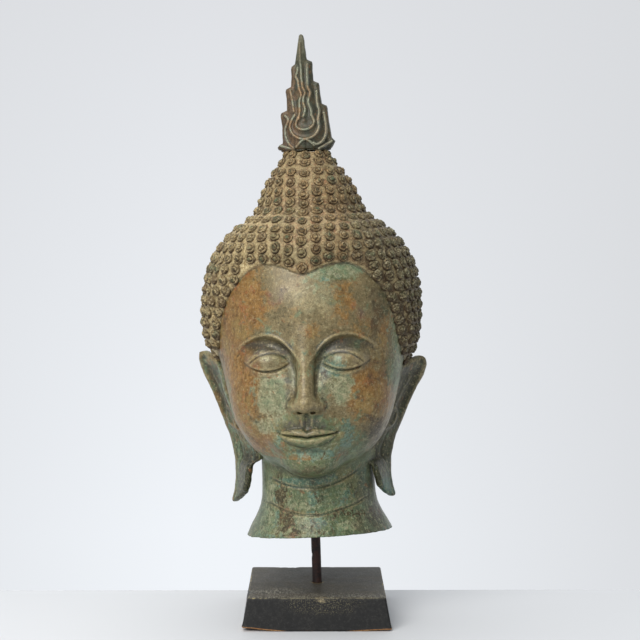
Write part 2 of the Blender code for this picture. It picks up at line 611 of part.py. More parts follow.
def cut(obj, cutter, name):
    cutter.hide_render = True
    cutter.display_type = "WIRE"
    mod = obj.modifiers.new(name, "BOOLEAN")
    mod.operation = "DIFFERENCE"
    mod.solver = "EXACT"
    mod.object = cutter


def box(name, lo, hi, parent=None, matrix=None):
    bm = bmesh.new()
    bmesh.ops.create_cube(bm, size=1.0)
    for v in bm.verts:
        v.co = [(lo[i] + (hi[i] - lo[i]) * (v.co[i] + 0.5)) * MM for i in range(3)]
    if matrix is not None:
        bm.transform(matrix)
    mesh = bpy.data.meshes.new(name)
    bm.to_mesh(mesh)
    bm.free()
    return put(name, mesh, parent)


def turned(name, rings, sides, parent=None):
    """A closed round solid from (radius, z) rings, lowest first, about the Z axis."""
    bm = bmesh.new()
    loops = []
    for r, z in rings:
        loops.append([bm.verts.new((r * MM * math.cos(2 * math.pi * k / sides), r * MM * math.sin(2 * math.pi * k / sides), z * MM)) for k in range(sides)])
    for a, b in zip(loops, loops[1:]):
        for k in range(sides):
            bm.faces.new((a[k], a[(k + 1) % sides], b[(k + 1) % sides], b[k]))
    bm.faces.new(loops[0][::-1])
    bm.faces.new(loops[-1])
    mesh = bpy.data.meshes.new(name)
    bm.to_mesh(mesh)
    bm.free()
    mesh.shade_smooth()
    mesh.set_sharp_from_angle(angle=math.radians(40))
    return put(name, mesh, parent)


def empty(name, location, turn, lean, parent=None):
    obj = bpy.data.objects.new(name, None)
    bpy.context.scene.collection.objects.link(obj)
    obj.rotation_mode = "ZYX"
    obj.location = [c * MM for c in location]
    obj.rotation_euler = (0.0, math.radians(lean), math.radians(turn))
    if parent is not None:
        obj.parent = parent
    return obj


clear()

# the head's own frame starts at the foot of its axis; its meshes are measured from the ground
head_foot = empty("head_foot", (HEAD_FOOT[0], HEAD_FOOT[1], HEAD_FOOT[2] + RISE), HEAD_TURN, HEAD_LEAN)
head_frame = empty("head_frame", (0.0, 0.0, -HEAD_FOOT[2]), 0.0, 0.0, head_foot)
flame_frame = empty("flame_frame", FLAME_FOOT, 0.0, FLAME_LEAN, head_frame)

head = cast("buddha_head", head_solid, (-132, -132, 50), (132, 132, 494), 3.0, 7300, head_frame)
flame_piece = cast("flame_finial", flame_solid, (-36, -28, -8), (36, 28, 128), 1.6, 1500, flame_frame)

# the neck's slanting cut, in the part's frame
slant = Matrix.Translation((0.0, 0.0, (CUT[0] + RISE) * MM)) @ Matrix(
    ((1, 0, 0, 0), (0, 1, 0, 0), (math.tan(math.radians(CUT[1])), math.tan(math.radians(CUT[2])), 1, 0), (0, 0, 0, 1))
)
neck_cutter = box("neck_cutter", (-150, -150, -60), (150, 150, 0), matrix=slant)
cut(head, neck_cutter, "neck_end")

# the casting is open below: the neck's hollow follows its outside, a wall's thickness in
hollow = []
for i in range(9):
    z = 54.0 + (HOLLOW_Z - 54.0) * i / 8
    hollow.append((float(NECK(z)) - WALL, z))
hollow_cutter = turned("hollow_cutter", hollow, 40, head_frame)
hollow_cutter.location = (NECK_X * MM, NECK_Y * MM, 0.0)
cut(head, hollow_cutter, "hollow")

# flat seats for the flame, on the crown and under the flame
crown_cutter = box("crown_cutter", (-60, -60, KNOT_TOP_Z), (60, 60, KNOT_TOP_Z + 30), head_frame)
cut(head, crown_cutter, "crown_seat")
flame_cutter = box("flame_cutter", (-60, -60, -30), (60, 60, 0), flame_frame)
cut(flame_piece, flame_cutter, "flame_seat")

# the block: a low pyramid's foot, worn round on its edges, with the rod's blind hole
bm = bmesh.new()
foot = [bm.verts.new((sx * BLOCK_FOOT_W / 2 * MM, sy * BLOCK_FOOT_D / 2 * MM, 0)) for sx, sy in ((-1, -1), (1, -1), (1, 1), (-1, 1))]
top = [bm.verts.new((sx * BLOCK_TOP_W / 2 * MM, sy * BLOCK_TOP_D / 2 * MM, BLOCK_H * MM)) for sx, sy in ((-1, -1), (1, -1), (1, 1), (-1, 1))]
bm.faces.new(foot[::-1])
bm.faces.new(top)
for k in range(4):
    bm.faces.new((foot[k], foot[(k + 1) % 4], top[(k + 1) % 4], top[k]))
mesh = bpy.data.meshes.new("base_block")
bm.to_mesh(mesh)
bm.free()
block = put("base_block", mesh)
edges = block.modifiers.new("worn_edges", "BEVEL")
edges.width = BLOCK_EDGE * MM
edges.segments = 2
edges.limit_method = "ANGLE"

rod_frame = empty("rod_frame", (ROD_X, 0.0, BLOCK_H), 0.0, ROD_LEAN)
hole_cutter = turned("hole_cutter", [(ROD_R + GAP, -ROD_SUNK), (ROD_R + GAP, 12.0)], 32, rod_frame)
cut(block, hole_cutter, "rod_hole")

# the rod: from just above the hole's floor to just under the hollow's ceiling
ceiling = from_head(np.array([[NECK_X, NECK_Y, HOLLOW_Z]]))[0]
axis = np.array([math.sin(math.radians(ROD_LEAN)), 0.0, math.cos(math.radians(ROD_LEAN))])
rod_top = float((ceiling - np.array([ROD_X, 0.0, BLOCK_H])) @ axis) - GAP - 0.1
rod = turned("support_rod", [(ROD_R - 0.6, -ROD_SUNK + GAP), (ROD_R, -ROD_SUNK + GAP + 0.8), (ROD_R, rod_top - 0.8), (ROD_R - 0.6, rod_top)], 32, rod_frame)

coat(head, "patinated_bronze", (0.165, 0.150, 0.095), 0.48, 0.65)
coat(flame_piece, "dark_bronze", (0.130, 0.110, 0.070), 0.50, 0.65)
coat(rod, "dark_iron", (0.035, 0.022, 0.018), 0.60, 0.80)
coat(block, "black_painted_wood", (0.045, 0.044, 0.040), 0.62, 0.0)
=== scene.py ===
"""The looks of the bronze Buddha head: fine castings, curls, flame relief, patina, stand, light and camera.

Lengths in the sizes are millimetres; the objects are in metres, in the CAD frame."""

import math
import time

import bmesh
import bpy
import numpy as np
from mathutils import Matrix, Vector


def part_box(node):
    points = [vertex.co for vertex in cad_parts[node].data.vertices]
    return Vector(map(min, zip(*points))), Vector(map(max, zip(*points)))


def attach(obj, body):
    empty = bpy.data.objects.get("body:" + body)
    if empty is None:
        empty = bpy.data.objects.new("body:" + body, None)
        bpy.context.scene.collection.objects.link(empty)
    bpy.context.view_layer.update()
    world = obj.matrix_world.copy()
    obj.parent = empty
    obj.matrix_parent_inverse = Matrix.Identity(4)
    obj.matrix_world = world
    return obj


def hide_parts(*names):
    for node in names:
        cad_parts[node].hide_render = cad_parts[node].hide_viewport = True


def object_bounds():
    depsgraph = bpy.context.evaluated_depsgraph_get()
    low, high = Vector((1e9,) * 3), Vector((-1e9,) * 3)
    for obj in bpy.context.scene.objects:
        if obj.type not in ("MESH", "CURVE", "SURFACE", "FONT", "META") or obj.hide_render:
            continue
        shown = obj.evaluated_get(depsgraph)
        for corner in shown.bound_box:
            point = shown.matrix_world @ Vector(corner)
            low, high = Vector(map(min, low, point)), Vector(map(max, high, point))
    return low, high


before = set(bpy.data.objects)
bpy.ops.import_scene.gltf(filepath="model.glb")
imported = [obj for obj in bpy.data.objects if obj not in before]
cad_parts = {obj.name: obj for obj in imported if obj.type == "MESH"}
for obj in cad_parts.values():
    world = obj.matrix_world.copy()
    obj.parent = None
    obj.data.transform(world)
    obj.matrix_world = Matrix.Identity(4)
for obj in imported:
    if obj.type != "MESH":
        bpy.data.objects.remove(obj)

cad_box = [list(c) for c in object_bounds()]
MM = 0.001
STARTED = time.time()

CORNERS = np.array([[i & 1, (i >> 1) & 1, (i >> 2) & 1] for i in range(8)], np.int64)
EDGES = [(0, 1), (2, 3), (4, 5), (6, 7), (0, 2), (1, 3), (4, 6), (5, 7), (0, 4), (1, 5), (2, 6), (3, 7)]


# ---------------------------------------------------------------- helpers: distances below zero are inside
def smin(a, b, k):
    h = np.clip(0.5 + 0.5 * (b - a) / k, 0, 1)
    return b + (a - b) * h - k * h * (1 - h)


def smax(a, b, k):
    return -smin(-a, -b, k)


def ramp(a, b, x):
    t = np.clip((x - a) / (b - a), 0, 1)
    return t * t * (3 - 2 * t)


def bell(x, w):
    return np.exp(-(x / w) ** 2)


def track(stations, samples=600):
    """A smooth line through (position, value) stations that doesn't overshoot."""
    s = np.array(sorted(stations), float)
    x, y = s[:, 0], s[:, 1]
    h, d = np.diff(x), np.diff(y) / np.diff(x)
    both = d[1:] * d[:-1]
    m = np.concatenate([[d[0]], np.where(both > 0, 2 * both / np.where(both > 0, d[1:] + d[:-1], 1), 0), [d[-1]]])
    gx = np.linspace(x[0], x[-1], samples)
    i = np.clip(np.searchsorted(x, gx, side="right") - 1, 0, len(h) - 1)
    t = (gx - x[i]) / h[i]
    gy = ((1 + 2 * t) * (1 - t) ** 2 * y[i] + t * (1 - t) ** 2 * h[i] * m[i]
          + t * t * (3 - 2 * t) * y[i + 1] + t * t * (t - 1) * h[i] * m[i + 1])
    return lambda q: np.interp(q, gx, gy)


def ellipsoid(p, c, r):
    r = np.array(r, float)
    q = (p - np.array(c, float)) / r
    a = np.sqrt((q * q).sum(1))
    b = np.sqrt(((q / r) ** 2).sum(1))
    return a * (a - 1) / np.maximum(b, 1e-9)


def taper(p, a, b, ra, rb):
    """A round bar from a to b whose radius goes from ra to rb."""
    a, b = np.array(a, float), np.array(b, float)
    d = b - a
    t = np.clip(((p - a) @ d) / (d @ d), 0, 1)
    return np.linalg.norm(p - a - t[:, None] * d, axis=1) - (ra + (rb - ra) * t)


class Chart:
    """A flat drawing on a square grid, read between its points."""

    def __init__(self, lo, hi, step, draw):
        self.lo, self.step = np.array(lo, float), step
        self.n = np.ceil((np.array(hi, float) - self.lo) / step).astype(int) + 1
        g = np.stack(np.meshgrid(*[np.arange(k) for k in self.n], indexing="ij"), -1).reshape(-1, 2)
        self.value = draw(self.lo + g * step).reshape(self.n)

    def __call__(self, u, v):
        a = np.clip((u - self.lo[0]) / self.step, 0, self.n[0] - 1.001)
        b = np.clip((v - self.lo[1]) / self.step, 0, self.n[1] - 1.001)
        i, j = a.astype(int), b.astype(int)
        a, b = a - i, b - j
        w = self.value
        return (w[i, j] * (1 - a) + w[i + 1, j] * a) * (1 - b) + (w[i, j + 1] * (1 - a) + w[i + 1, j + 1] * a) * b


def to_line(q, line):
    """Distance from each point to a run of straight bits, and how far along it the nearest place is, 0 to 1."""
    line = np.asarray(line, float)
    best, along = np.full(len(q), 1e9), np.zeros(len(q))
    step = np.linalg.norm(np.diff(line, axis=0), axis=1)
    start = np.concatenate([[0], np.cumsum(step)])
    for i in range(len(step)):
        d = line[i + 1] - line[i]
        t = np.clip(((q - line[i]) @ d) / max(d @ d, 1e-12), 0, 1)
        r = np.linalg.norm(q - line[i] - t[:, None] * d, axis=1)
        hit = r < best
        best = np.where(hit, r, best)
        along = np.where(hit, (start[i] + t * step[i]) / start[-1], along)
    return best, along


def outline(q, ring):
    """Signed distance to a closed outline."""
    ring = np.asarray(ring, float)
    best, _ = to_line(q, np.concatenate([ring, ring[:1]]))
    inside = np.zeros(len(q), bool)
    for a, b in zip(ring, np.roll(ring, -1, axis=0)):
        if a[1] == b[1]:
            continue
        cross = (a[1] > q[:, 1]) != (b[1] > q[:, 1])
        inside ^= cross & (q[:, 0] < (b[0] - a[0]) * (q[:, 1] - a[1]) / (b[1] - a[1]) + a[0])
    return np.where(inside, -best, best)


# ---------------------------------------------------------------- the head's sizes, mm, in its own upright frame
# +X is the viewer's right, -Y the way the head faces, Z up from the underside of the base
RISE = 8.0                         # heights below are from a level this far above the ground
HEAD_FOOT = (3.2, 0.0, 84.0)       # where the head's axis leaves the neck
HEAD_LEAN = -1.95                  # degrees from upright, towards the viewer's left
HEAD_TURN = -5.0                   # degrees about its own axis, towards the viewer's left
CUT = (79.4, 3.0, -6.5)            # the neck's cut: height on the axis, rise to the viewer's right, fall to the back
HAIRLINE_Z = 362.0                 # middle of the forehead
CHIN_Z = 150.0
THIRD = (HAIRLINE_Z - CHIN_Z) / 3  # hairline to brow, brow to nose, nose to chin
BROW_Z = CHIN_Z + 2 * THIRD
NOSE_Z = CHIN_Z + THIRD
EYE_Z = BROW_Z - 0.30 * THIRD
MOUTH_Z = NOSE_Z - THIRD / 3
EYE_W = 37.0                       # a fifth of the face's breadth
MOUTH_HALF = 0.80 * EYE_W
HAIR_HALF_W = 110.6                # the cap under its curls
HAIR_FRONT = 103.8                 # from the cap's middle
HAIR_BACK = 112.0
CAP_Y, CAP_Z = 4.0, 325.0
CAP_RISE, CAP_DROP = 99.5, 158.0
CAP_FULL, CAP_FULL_FRONT = 2.16, 3.0   # squarer than an ellipse, 2, above its middle, and most in front
KNOT_X, KNOT_Y, KNOT_TOP_Z = 0.9, 2.0, 481.0
KNOT_DEEP = 1.06                   # its depth to its width
KNOT = track([(380, 55.0), (408, 54.0), (420, 52.0), (427, 50.2), (433, 48.0), (439, 45.5), (445, 42.2), (452, 38.5), (458, 34.0), (464, 30.0), (471, 24.8), (477, 20.5), (484, 16.0)])
CURL_PROUD = 5.4
EDGE_PROUD = 2.6                   # how far the cap's edge stands off the skin
NECK_X, NECK_Y = 0.1, 6.0
NECK = track([(52, 87.5), (60, 84.4), (68, 81.6), (76, 78.6), (84, 75.2), (91, 71.6), (98, 67.6), (106, 63.9), (112, 61.8), (124, 60.0), (150, 59.4), (190, 60.0), (230, 62.0)])

# the hair's edge: its height around the head, by the angle from the front in degrees
HAIR_EDGE = track([(0, 358.3), (2, 358.6), (6, 360.8), (11, 364.6), (19, 367.8), (26, 368.0), (33, 364.5), (41, 355.0), (46, 347.0), (52, 335.0), (59, 314.0), (65, 293.0),
                   (72, 277.0), (84, 268.0), (98, 256.0), (112, 234.0), (126, 208.0), (145, 190.0), (165, 181.0), (180, 179.0)], 900)


def hair_margin(p):
    """How far inside the hair's edge a point lies, along the skin. Over the right ear, which sits lower, so does the edge."""
    a = np.degrees(np.arctan2(np.abs(p[:, 0]), -(p[:, 1] - CAP_Y)))
    slope = (HAIR_EDGE(a + 0.5) - HAIR_EDGE(a - 0.5)) / np.maximum(np.hypot(p[:, 0], p[:, 1] - CAP_Y) * math.radians(1.0), 0.4)
    edge = HAIR_EDGE(a) - 7.0 * ramp(46, 70, a) * (1 - ramp(100, 150, a)) * ramp(-20, 20, p[:, 0])
    return (p[:, 2] - edge) / np.sqrt(1 + slope * slope)


def hair_body(p):
    """The cap and the crown's knot, under the curls."""
    x, y, z = p.T
    ahead = np.where(y < CAP_Y, CAP_FULL_FRONT - CAP_FULL, 0.15) * (y - CAP_Y) ** 2 / np.maximum(x * x + (y - CAP_Y) ** 2, 1e-6)
    n = np.where(z > CAP_Z, CAP_FULL + ahead, 2.0)
    c = np.where(z > CAP_Z, CAP_RISE, CAP_DROP)
    b = np.where(y < CAP_Y, HAIR_FRONT, HAIR_BACK)
    half = HAIR_HALF_W + 3.4 * ramp(350, 300, z) * ramp(-40, -90, x)   # fuller low on the left
    u, v, w = x / half, (y - CAP_Y) / b, np.abs(z - CAP_Z) / c
    rho = np.maximum(np.hypot(u, v), 1e-6)
    a = (rho ** n + w ** n) ** (1 / n)
    g = np.sqrt(rho ** (2 * n - 4) * ((u / half) ** 2 + (v / b) ** 2) + (w ** (n - 1) / c) ** 2)
    cap = (a - 1) * a ** (n - 1) / np.maximum(g, 1e-9)
    w = KNOT(z)
    slope = (KNOT(z + 1) - KNOT(z - 1)) / 2
    knot = (np.hypot(x - KNOT_X * ramp(478, 440, z), (y - KNOT_Y) / KNOT_DEEP) - w) / np.sqrt(1 + slope * slope)
    knot = smax(knot, z - KNOT_TOP_Z - 2.0, 2.0)
    return smin(cap, knot, 11.0)


def neck(p):
    x, y, z = p.T
    slope = (NECK(z + 1) - NECK(z - 1)) / 2
    r = np.hypot(x - NECK_X, (y - NECK_Y) * 0.98)
    f = (r - NECK(z)) / np.sqrt(1 + slope * slope)
    return smax(f, z - 232.0, 8.0)


# ---------------------------------------------------------------- the face: a calm, plain one, on the thirds above
def brow_line(ax):
    """The brow's arch, from the root of the nose to the temple."""
    inner = BROW_Z + 6.0 - 25.0 * np.clip((40.0 - ax) / 34.0, 0, 1.2) ** 2.1
    outer = BROW_Z + 6.0 - 22.0 * np.clip((ax - 40.0) / 38.0, 0, 1.4) ** 1.9
    return np.where(ax < 40, inner, outer)


def lid_line(ax):
    """The edge of the lowered upper lid."""
    u = (ax - EYE_W) / (0.53 * EYE_W)
    return EYE_Z - 7.5 + 5.0 * u * u - 1.2 * u


def mouth_line(ax):
    u = ax / MOUTH_HALF
    return MOUTH_Z - 0.4 + 2.6 * u * u - 1.0 * bell(ax, 4.5)


def face_mass(p):
    q = np.stack([np.abs(p[:, 0]), p[:, 1], p[:, 2]], 1)
    f = ellipsoid(p, (0, 4, 318), (96.5, 105.5, 98))
    f = smin(f, ellipsoid(p, (0, -19, 262), (92.5, 84.0, 90)), 14)
    f = smin(f, ellipsoid(p, (0, -30, 221), (81.0, 70.5, 71)), 14)
    f = smin(f, ellipsoid(p, (0, -70, 169), (28, 27.5, 18.5)), 16)
    return smin(f, ellipsoid(q, (44, -56, 232), (32, 32, 38)), 16)


def face_relief(p):
    """What the features add to the face's mass, inwards above zero, or the features themselves, joined to it."""
    x, y, z = p.T
    ax = np.abs(x)
    q = np.stack([ax, y, z], 1)
    d = face_mass(p)
    # eye sockets, under the arch of the brow
    below = brow_line(ax) - z
    depth = 8.0 * bell(ax - 14, 19) + 4.6 * bell(ax - 44, 24)
    hollow = depth * ramp(-1.5, 6.5, below) * (1 - ramp(12, 44, below)) * (1 - ramp(66, 84, ax))
    ridge = 1.3 * bell(below + 0.6, 1.8) * ramp(8, 16, ax) * (1 - ramp(62, 76, ax))
    d = d + hollow - ridge
    # lids over the eyeballs
    u = (ax - EYE_W) / (0.53 * EYE_W)
    lid = lid_line(ax)
    ball = (EYE_W, -76.5, EYE_Z - 2)
    upper = ellipsoid(q, ball, (25.0, 22.5, 20.5))
    lower = ellipsoid(q, ball, (23.5, 20.6, 19.0))
    d = smin(d, lower + (upper - lower) * ramp(-0.7, 0.7, z - lid), 4.0)
    fold = EYE_Z + 9.6 - 8.5 * u * u - 1.2 * u
    d = d + 1.9 * bell(z - lid + 1.1, 1.0) * (1 - ramp(0.80, 1.05, np.abs(u)))
    d = d - 0.5 * bell(z - lid - 1.3, 1.2) * (1 - ramp(0.80, 1.05, np.abs(u)))
    d = d - 0.7 * bell(z - lid + 4.3 - 1.2 * u * u, 1.5) * (1 - ramp(0.70, 1.0, np.abs(u)))
    d = d + 1.1 * bell(z - fold, 1.2) * (1 - ramp(0.85, 1.15, np.abs(u)))
    # nose
    nose = taper(p, (0, -92.0, BROW_Z + 6), (0, -111.2, NOSE_Z + 12.5), 7.4, 8.4)
    nose = smin(nose, ellipsoid(p, (0, -112.0, NOSE_Z + 8.8), (8.8, 9.8, 7.6)), 7)
    nose = smin(nose, ellipsoid(q, (9.8, -103.6, NOSE_Z + 6.8), (6.9, 10.0, 6.2)), 6)
    d = smin(d, nose, 11)
    # the wings' back edge, and the nostrils under them
    wing = np.hypot((ax - 10.6) / 8.8, (z - NOSE_Z - 6.8) / 7.8)
    d = d + 0.6 * bell(wing - 1.08, 0.16) * ramp(0.3, 0.8, (ax - 10.6) / 8.8) * ramp(-0.9, -0.2, (z - NOSE_Z - 6.8) / 7.8)
    d = smax(d, -ellipsoid(q, (6.4, -107.5, NOSE_Z + 0.6), (3.2, 5.2, 2.7)), 1.2)
    # muzzle, lips, the groove above them and the hollow over the chin
    d = smin(d, ellipsoid(p, (0, -84.5, MOUTH_Z + 1), (38, 18.5, 24)), 14)
    v = np.clip(ax / MOUTH_HALF, 0, 1)
    line = mouth_line(ax)
    top = line + 8.9 * (1 - v ** 2.2) ** 0.85 - 1.9 * bell(ax, 4.2) + 0.05
    low = line - 10.8 * (1 - v ** 2.4) ** 0.75 - 0.05
    tu = np.clip((z - line) / np.maximum(top - line, 0.3), 0, 1)
    tl = np.clip((line - z) / np.maximum(line - low, 0.3), 0, 1)
    lips = np.where(z > line, 4.6 * np.sin(np.pi * 0.97 * tu ** 0.75 + 0.01) ** 0.8 * (tu < 1), 5.5 * np.sin(np.pi * 0.98 * tl ** 0.72 + 0.01) ** 0.85 * (tl < 1))
    d = d - lips * (1 - v ** 3)
    d = d + 2.6 * bell(z - line, 1.0) * (1 - ramp(0.93, 1.10, ax / MOUTH_HALF))
    d = d + 1.8 * bell(np.hypot(ax - MOUTH_HALF - 0.8, z - line), 3.2)
    over_lip = ramp(MOUTH_Z + 6.5, MOUTH_Z + 10, z) * (1 - ramp(NOSE_Z - 4, NOSE_Z + 1, z))
    d = d + (1.1 * bell(ax, 3.0) - 0.5 * bell(ax - 5.4, 2.4)) * over_lip
    d = d + 2.8 * bell(z - (MOUTH_Z - 15.5), 5.5) * bell(ax, 22)
    return d


def face(p):
    f = np.full(len(p), 40.0)
    near = face_mass(p)
    front = (near < 30) & (near > -40) & (p[:, 1] < -40) & (p[:, 2] > 128) & (p[:, 2] < 345)
    f = near
    if front.any():
        f = near.copy()
        f[front] = face_relief(p[front])
    return f


# ---------------------------------------------------------------- ears: long, standing out above, the lobes hanging free
EAR_TOP_Z, EAR_TIP_Z = 273.0, 116.5
EAR_SPAN = ((112.6, 274.8), (115.2, 263.6))   # tip and top of each, the left one first: the right ear is shorter
EAR_X = track([(110, -6.6), (150, -6.4), (270, -4.8), (290, -4.6)])   # the middle between the two, off the head's axis
EAR_RIM_X = track([(114, 84.4), (120, 83.0), (128, 81.0), (142, 79.3), (158, 79.6), (170, 81.6), (182, 84.6), (195, 90.2), (207, 95.2), (220, 100.4), (234, 107.0), (250, 115.6), (262, 118.8), (270, 118.6), (276, 116.4)])
EAR_RIM_Y = track([(114, 14.0), (128, 17.0), (148, 18.5), (168, 20.5), (200, 27.0), (232, 36.0), (252, 40.0), (264, 37.0), (276, 30.0)])
EAR_ROOT_X = track([(114, 79.0), (120, 76.0), (126, 73.0), (136, 68.8), (144, 66.6), (150, 64.8), (156, 63.8), (159, 61.5), (162, 56.0), (165, 54.5), (168, 54.5), (184, 60.0), (200, 71.0), (232, 84.0), (255, 89.0), (266, 93.0), (276, 97.0)])
EAR_ROOT_LEFT = track([(116, -1.0), (121, -2.8), (127, -3.2), (132, -1.2), (142, -1.0), (148, 0.0)])   # more than that, on each side
EAR_ROOT_RIGHT = track([(124, 0.0), (130, 1.8), (136, 2.8), (144, 3.6), (152, 3.6), (158, 2.0), (163, 0.0)])
EAR_ROOT_Y = track([(114, -4.0), (128, -10.0), (148, -13.0), (168, -12.0), (200, -10.0), (232, -9.0), (255, -8.0), (266, -5.0), (276, 0.0)])


def ear_height(p):
    """Height within the pattern that both ears follow."""
    (a, b), (c, d) = EAR_SPAN
    left = p[:, 0] < 0
    low, tall = np.where(left, a, c), np.where(left, b - a, d - c)
    return EAR_TIP_Z + (p[:, 2] - low) * (EAR_TOP_Z - EAR_TIP_Z) / tall


def ear_place(p):
    """Across the ear from its front edge, 0, to its rim, 1, and the distance off its middle sheet, outwards."""
    z = np.clip(ear_height(p), EAR_TIP_Z - 2, 276)
    q0 = np.abs(p[:, 0] - EAR_X(z))
    ax = EAR_ROOT_X(z) + np.where(p[:, 0] < EAR_X(z), EAR_ROOT_LEFT(z), EAR_ROOT_RIGHT(z))
    ay, bx, by = EAR_ROOT_Y(z), EAR_RIM_X(z), EAR_RIM_Y(z)
    dx, dy = bx - ax, by - ay
    length = np.hypot(dx, dy)
    t = ((q0 - ax) * dx + (p[:, 1] - ay) * dy) / (length * length)
    side = (q0 - ax) * dy / length - (p[:, 1] - ay) * dx / length
    return t, side, length


def ear_relief(t, z):
    """How much thicker than its plain sheet the ear's outer face is: rim, bowl and one fold above, a plain lobe below."""
    up = ramp(192, 226, z)
    rim = bell(t - 0.93, 0.085) * (0.25 + 0.75 * up)
    bowl = ramp(0.14, 0.28, t) * (1 - ramp(0.74, 0.88, t)) * ramp(196, 216, z) * (1 - ramp(252, 263, z))
    fold = bell(t - 0.52 - 0.006 * (z - 236), 0.10) * ramp(206, 226, z) * (1 - ramp(246, 258, z))
    low_fold = np.hypot((t - 0.40) / 0.26, (z - 205) / 10.5)
    front = bell(t - 0.07, 0.10) * ramp(196, 206, z) * (1 - ramp(260, 267, z))
    slit = bell(t - 0.62, 0.05) * ramp(150, 160, z) * (1 - ramp(184, 194, z))
    f = 2.4 * rim - 2.6 * bowl + 1.2 * fold + 1.4 * bell(low_fold - 1, 0.28) * (t > 0.3)
    return f + 1.3 * front - 1.1 * slit + 0.7 * (1 - up)


def ears(p):
    t, side, length = ear_place(p)
    z = ear_height(p)
    s = np.clip(t, 0, 1)
    off = np.hypot((t - s) * length, side)
    half = 3.4 + ear_relief(t, z) * ramp(-1.0, 1.0, side)
    f = off - half
    arch = np.where(t > 0.78, 7.0 * ((t - 0.78) / 0.28) ** 2, 15.0 * ((0.78 - t) / 0.78) ** 2)
    f = smax(f, z - (EAR_TOP_Z - 1.0 - np.minimum(arch, 22.0)), 4.0)
    # the lobe's end runs up from its tip to its inner edge
    slope = 28.0 * (1 - s) / length
    return smax(f, (EAR_TIP_Z - z + 14.0 * (1 - s) ** 2 - 1.0) / np.sqrt(1 + slope * slope) * 0.95, 3.5) * 0.92


# ---------------------------------------------------------------- the head put together
def skin(p):
    """Face, skull, neck and ears, without hair."""
    f = smin(face(p), hair_body(p) + 6.5, 6.0)
    f = smin(f, neck(p), 10.0)
    near = (np.abs(p[:, 0] + 5.0) > 48) & (np.abs(p[:, 1] - 10) < 50) & (p[:, 2] > 100) & (p[:, 2] < 290)
    if near.any():
        f[near] = smin(f[near], ears(p[near]), 1.6 + 1.9 * ramp(154, 166, p[near][:, 2]))
    return f


def skull(p):
    """The same without ears and features, to lay the hair on."""
    return smin(smin(face_mass(p), hair_body(p) + 6.5, 6.0), neck(p), 10.0)


def hair(p, proud=0.0):
    """The hair's solid: a thin step at its edge, the full cap within."""
    m = hair_margin(p)
    s = skull(p) - EDGE_PROUD
    t = ramp(-2, 26, m)
    f = (1 - t) * s + t * np.minimum(hair_body(p), s) - proud
    return smax(f, -m - 0.25 * proud, 1.5)


def from_head(p):
    """Points of the head's own frame in the part's frame."""
    a, b = math.radians(HEAD_TURN), math.radians(HEAD_LEAN)
    foot = np.array(HEAD_FOOT)
    q = np.asarray(p, float) - np.array([0, 0, HEAD_FOOT[2]])
    x, y, z = q[:, 0] * math.cos(a) - q[:, 1] * math.sin(a), q[:, 0] * math.sin(a) + q[:, 1] * math.cos(a), q[:, 2]
    x, z = x * math.cos(b) + z * math.sin(b), -x * math.sin(b) + z * math.cos(b)
    return np.stack([x, y, z + RISE], 1) + foot


def above_cut(p):
    """Distance above the neck's slanting cut, of points in the head's frame."""
    w = from_head(p)
    h, right, back = CUT[0] + RISE, math.tan(math.radians(CUT[1])), math.tan(math.radians(CUT[2]))
    return (w[:, 2] - h - right * w[:, 0] - back * w[:, 1]) / math.sqrt(1 + right * right + back * back)


# ---------------------------------------------------------------- the flame, mm, in its own frame: Z up from its foot
FLAME_FOOT = (0.0, 3.0, KNOT_TOP_Z + 0.3)   # in the head's frame
FLAME_LEAN = -0.9                            # degrees more than the head
FLAME_TALL = 121.7
# each leaf's tip height, half-width at its tip and half-width at its foot, from the lowest up
LEAVES_RIGHT = [(11.2, 30.6, 24.4), (47.2, 24.0, 27.4), (71.0, 16.9, 18.6), (93.6, 10.9, 11.2)]
LEAVES_LEFT = [(7.4, 31.0, 25.6), (41.8, 25.8, 25.2), (66.2, 19.5, 19.2), (89.2, 12.5, 13.8)]
SPIKE_FOOT = (5.2, 8.4)                      # the top spike's half-widths, right and left
FLAME_BODY_W = track([(-1, 22.0), (6, 24.0), (14, 24.2), (30, 22.0), (46, 17.2), (68, 11.5), (90, 6.2), (104, 4.6), (116, 3.2), (124, 1.6)])
FLAME_BODY_D = track([(-1, 20.5), (8, 21.5), (20, 21.5), (34, 19.5), (50, 15.0), (70, 10.6), (90, 6.8), (104, 4.6), (116, 3.2), (124, 1.6)])


def flame_ring():
    ring = []
    for side, leaves, spike in ((1, LEAVES_RIGHT, SPIKE_FOOT[0]), (-1, LEAVES_LEFT, SPIKE_FOOT[1])):
        run, foot_h = [], 0.0
        for tip_h, tip_w, foot_w in leaves:
            waist = 0.5 * (tip_w + foot_w) - 0.5
            if foot_h == 0:            # the lowest leaf turns up and out, round at its end
                run += [(foot_w, 0.0), (foot_w + 2.2, 1.4), (tip_w - 1.4, tip_h - 5.0), (tip_w, tip_h - 2.6), (tip_w, tip_h - 0.8), (tip_w - 1.3, tip_h)]
            else:
                run += [(foot_w, foot_h), (waist, 0.5 * (foot_h + tip_h)), (tip_w + 0.3, tip_h - 3.0), (tip_w - 0.5, tip_h)]
            foot_h = tip_h + 2.4
        run += [(spike, foot_h), (spike * 0.66, foot_h + 12), (3.2, 115.0), (2.3, 120.4)]
        ring += [(side * w, h) for w, h in (run if side > 0 else run[::-1])]
        if side > 0:
            ring.append((0.0, FLAME_TALL + 0.3))
    return ring


FLAME_EDGE = Chart((-36, -6), (36, 130), 0.5, lambda q: outline(q, flame_ring()))


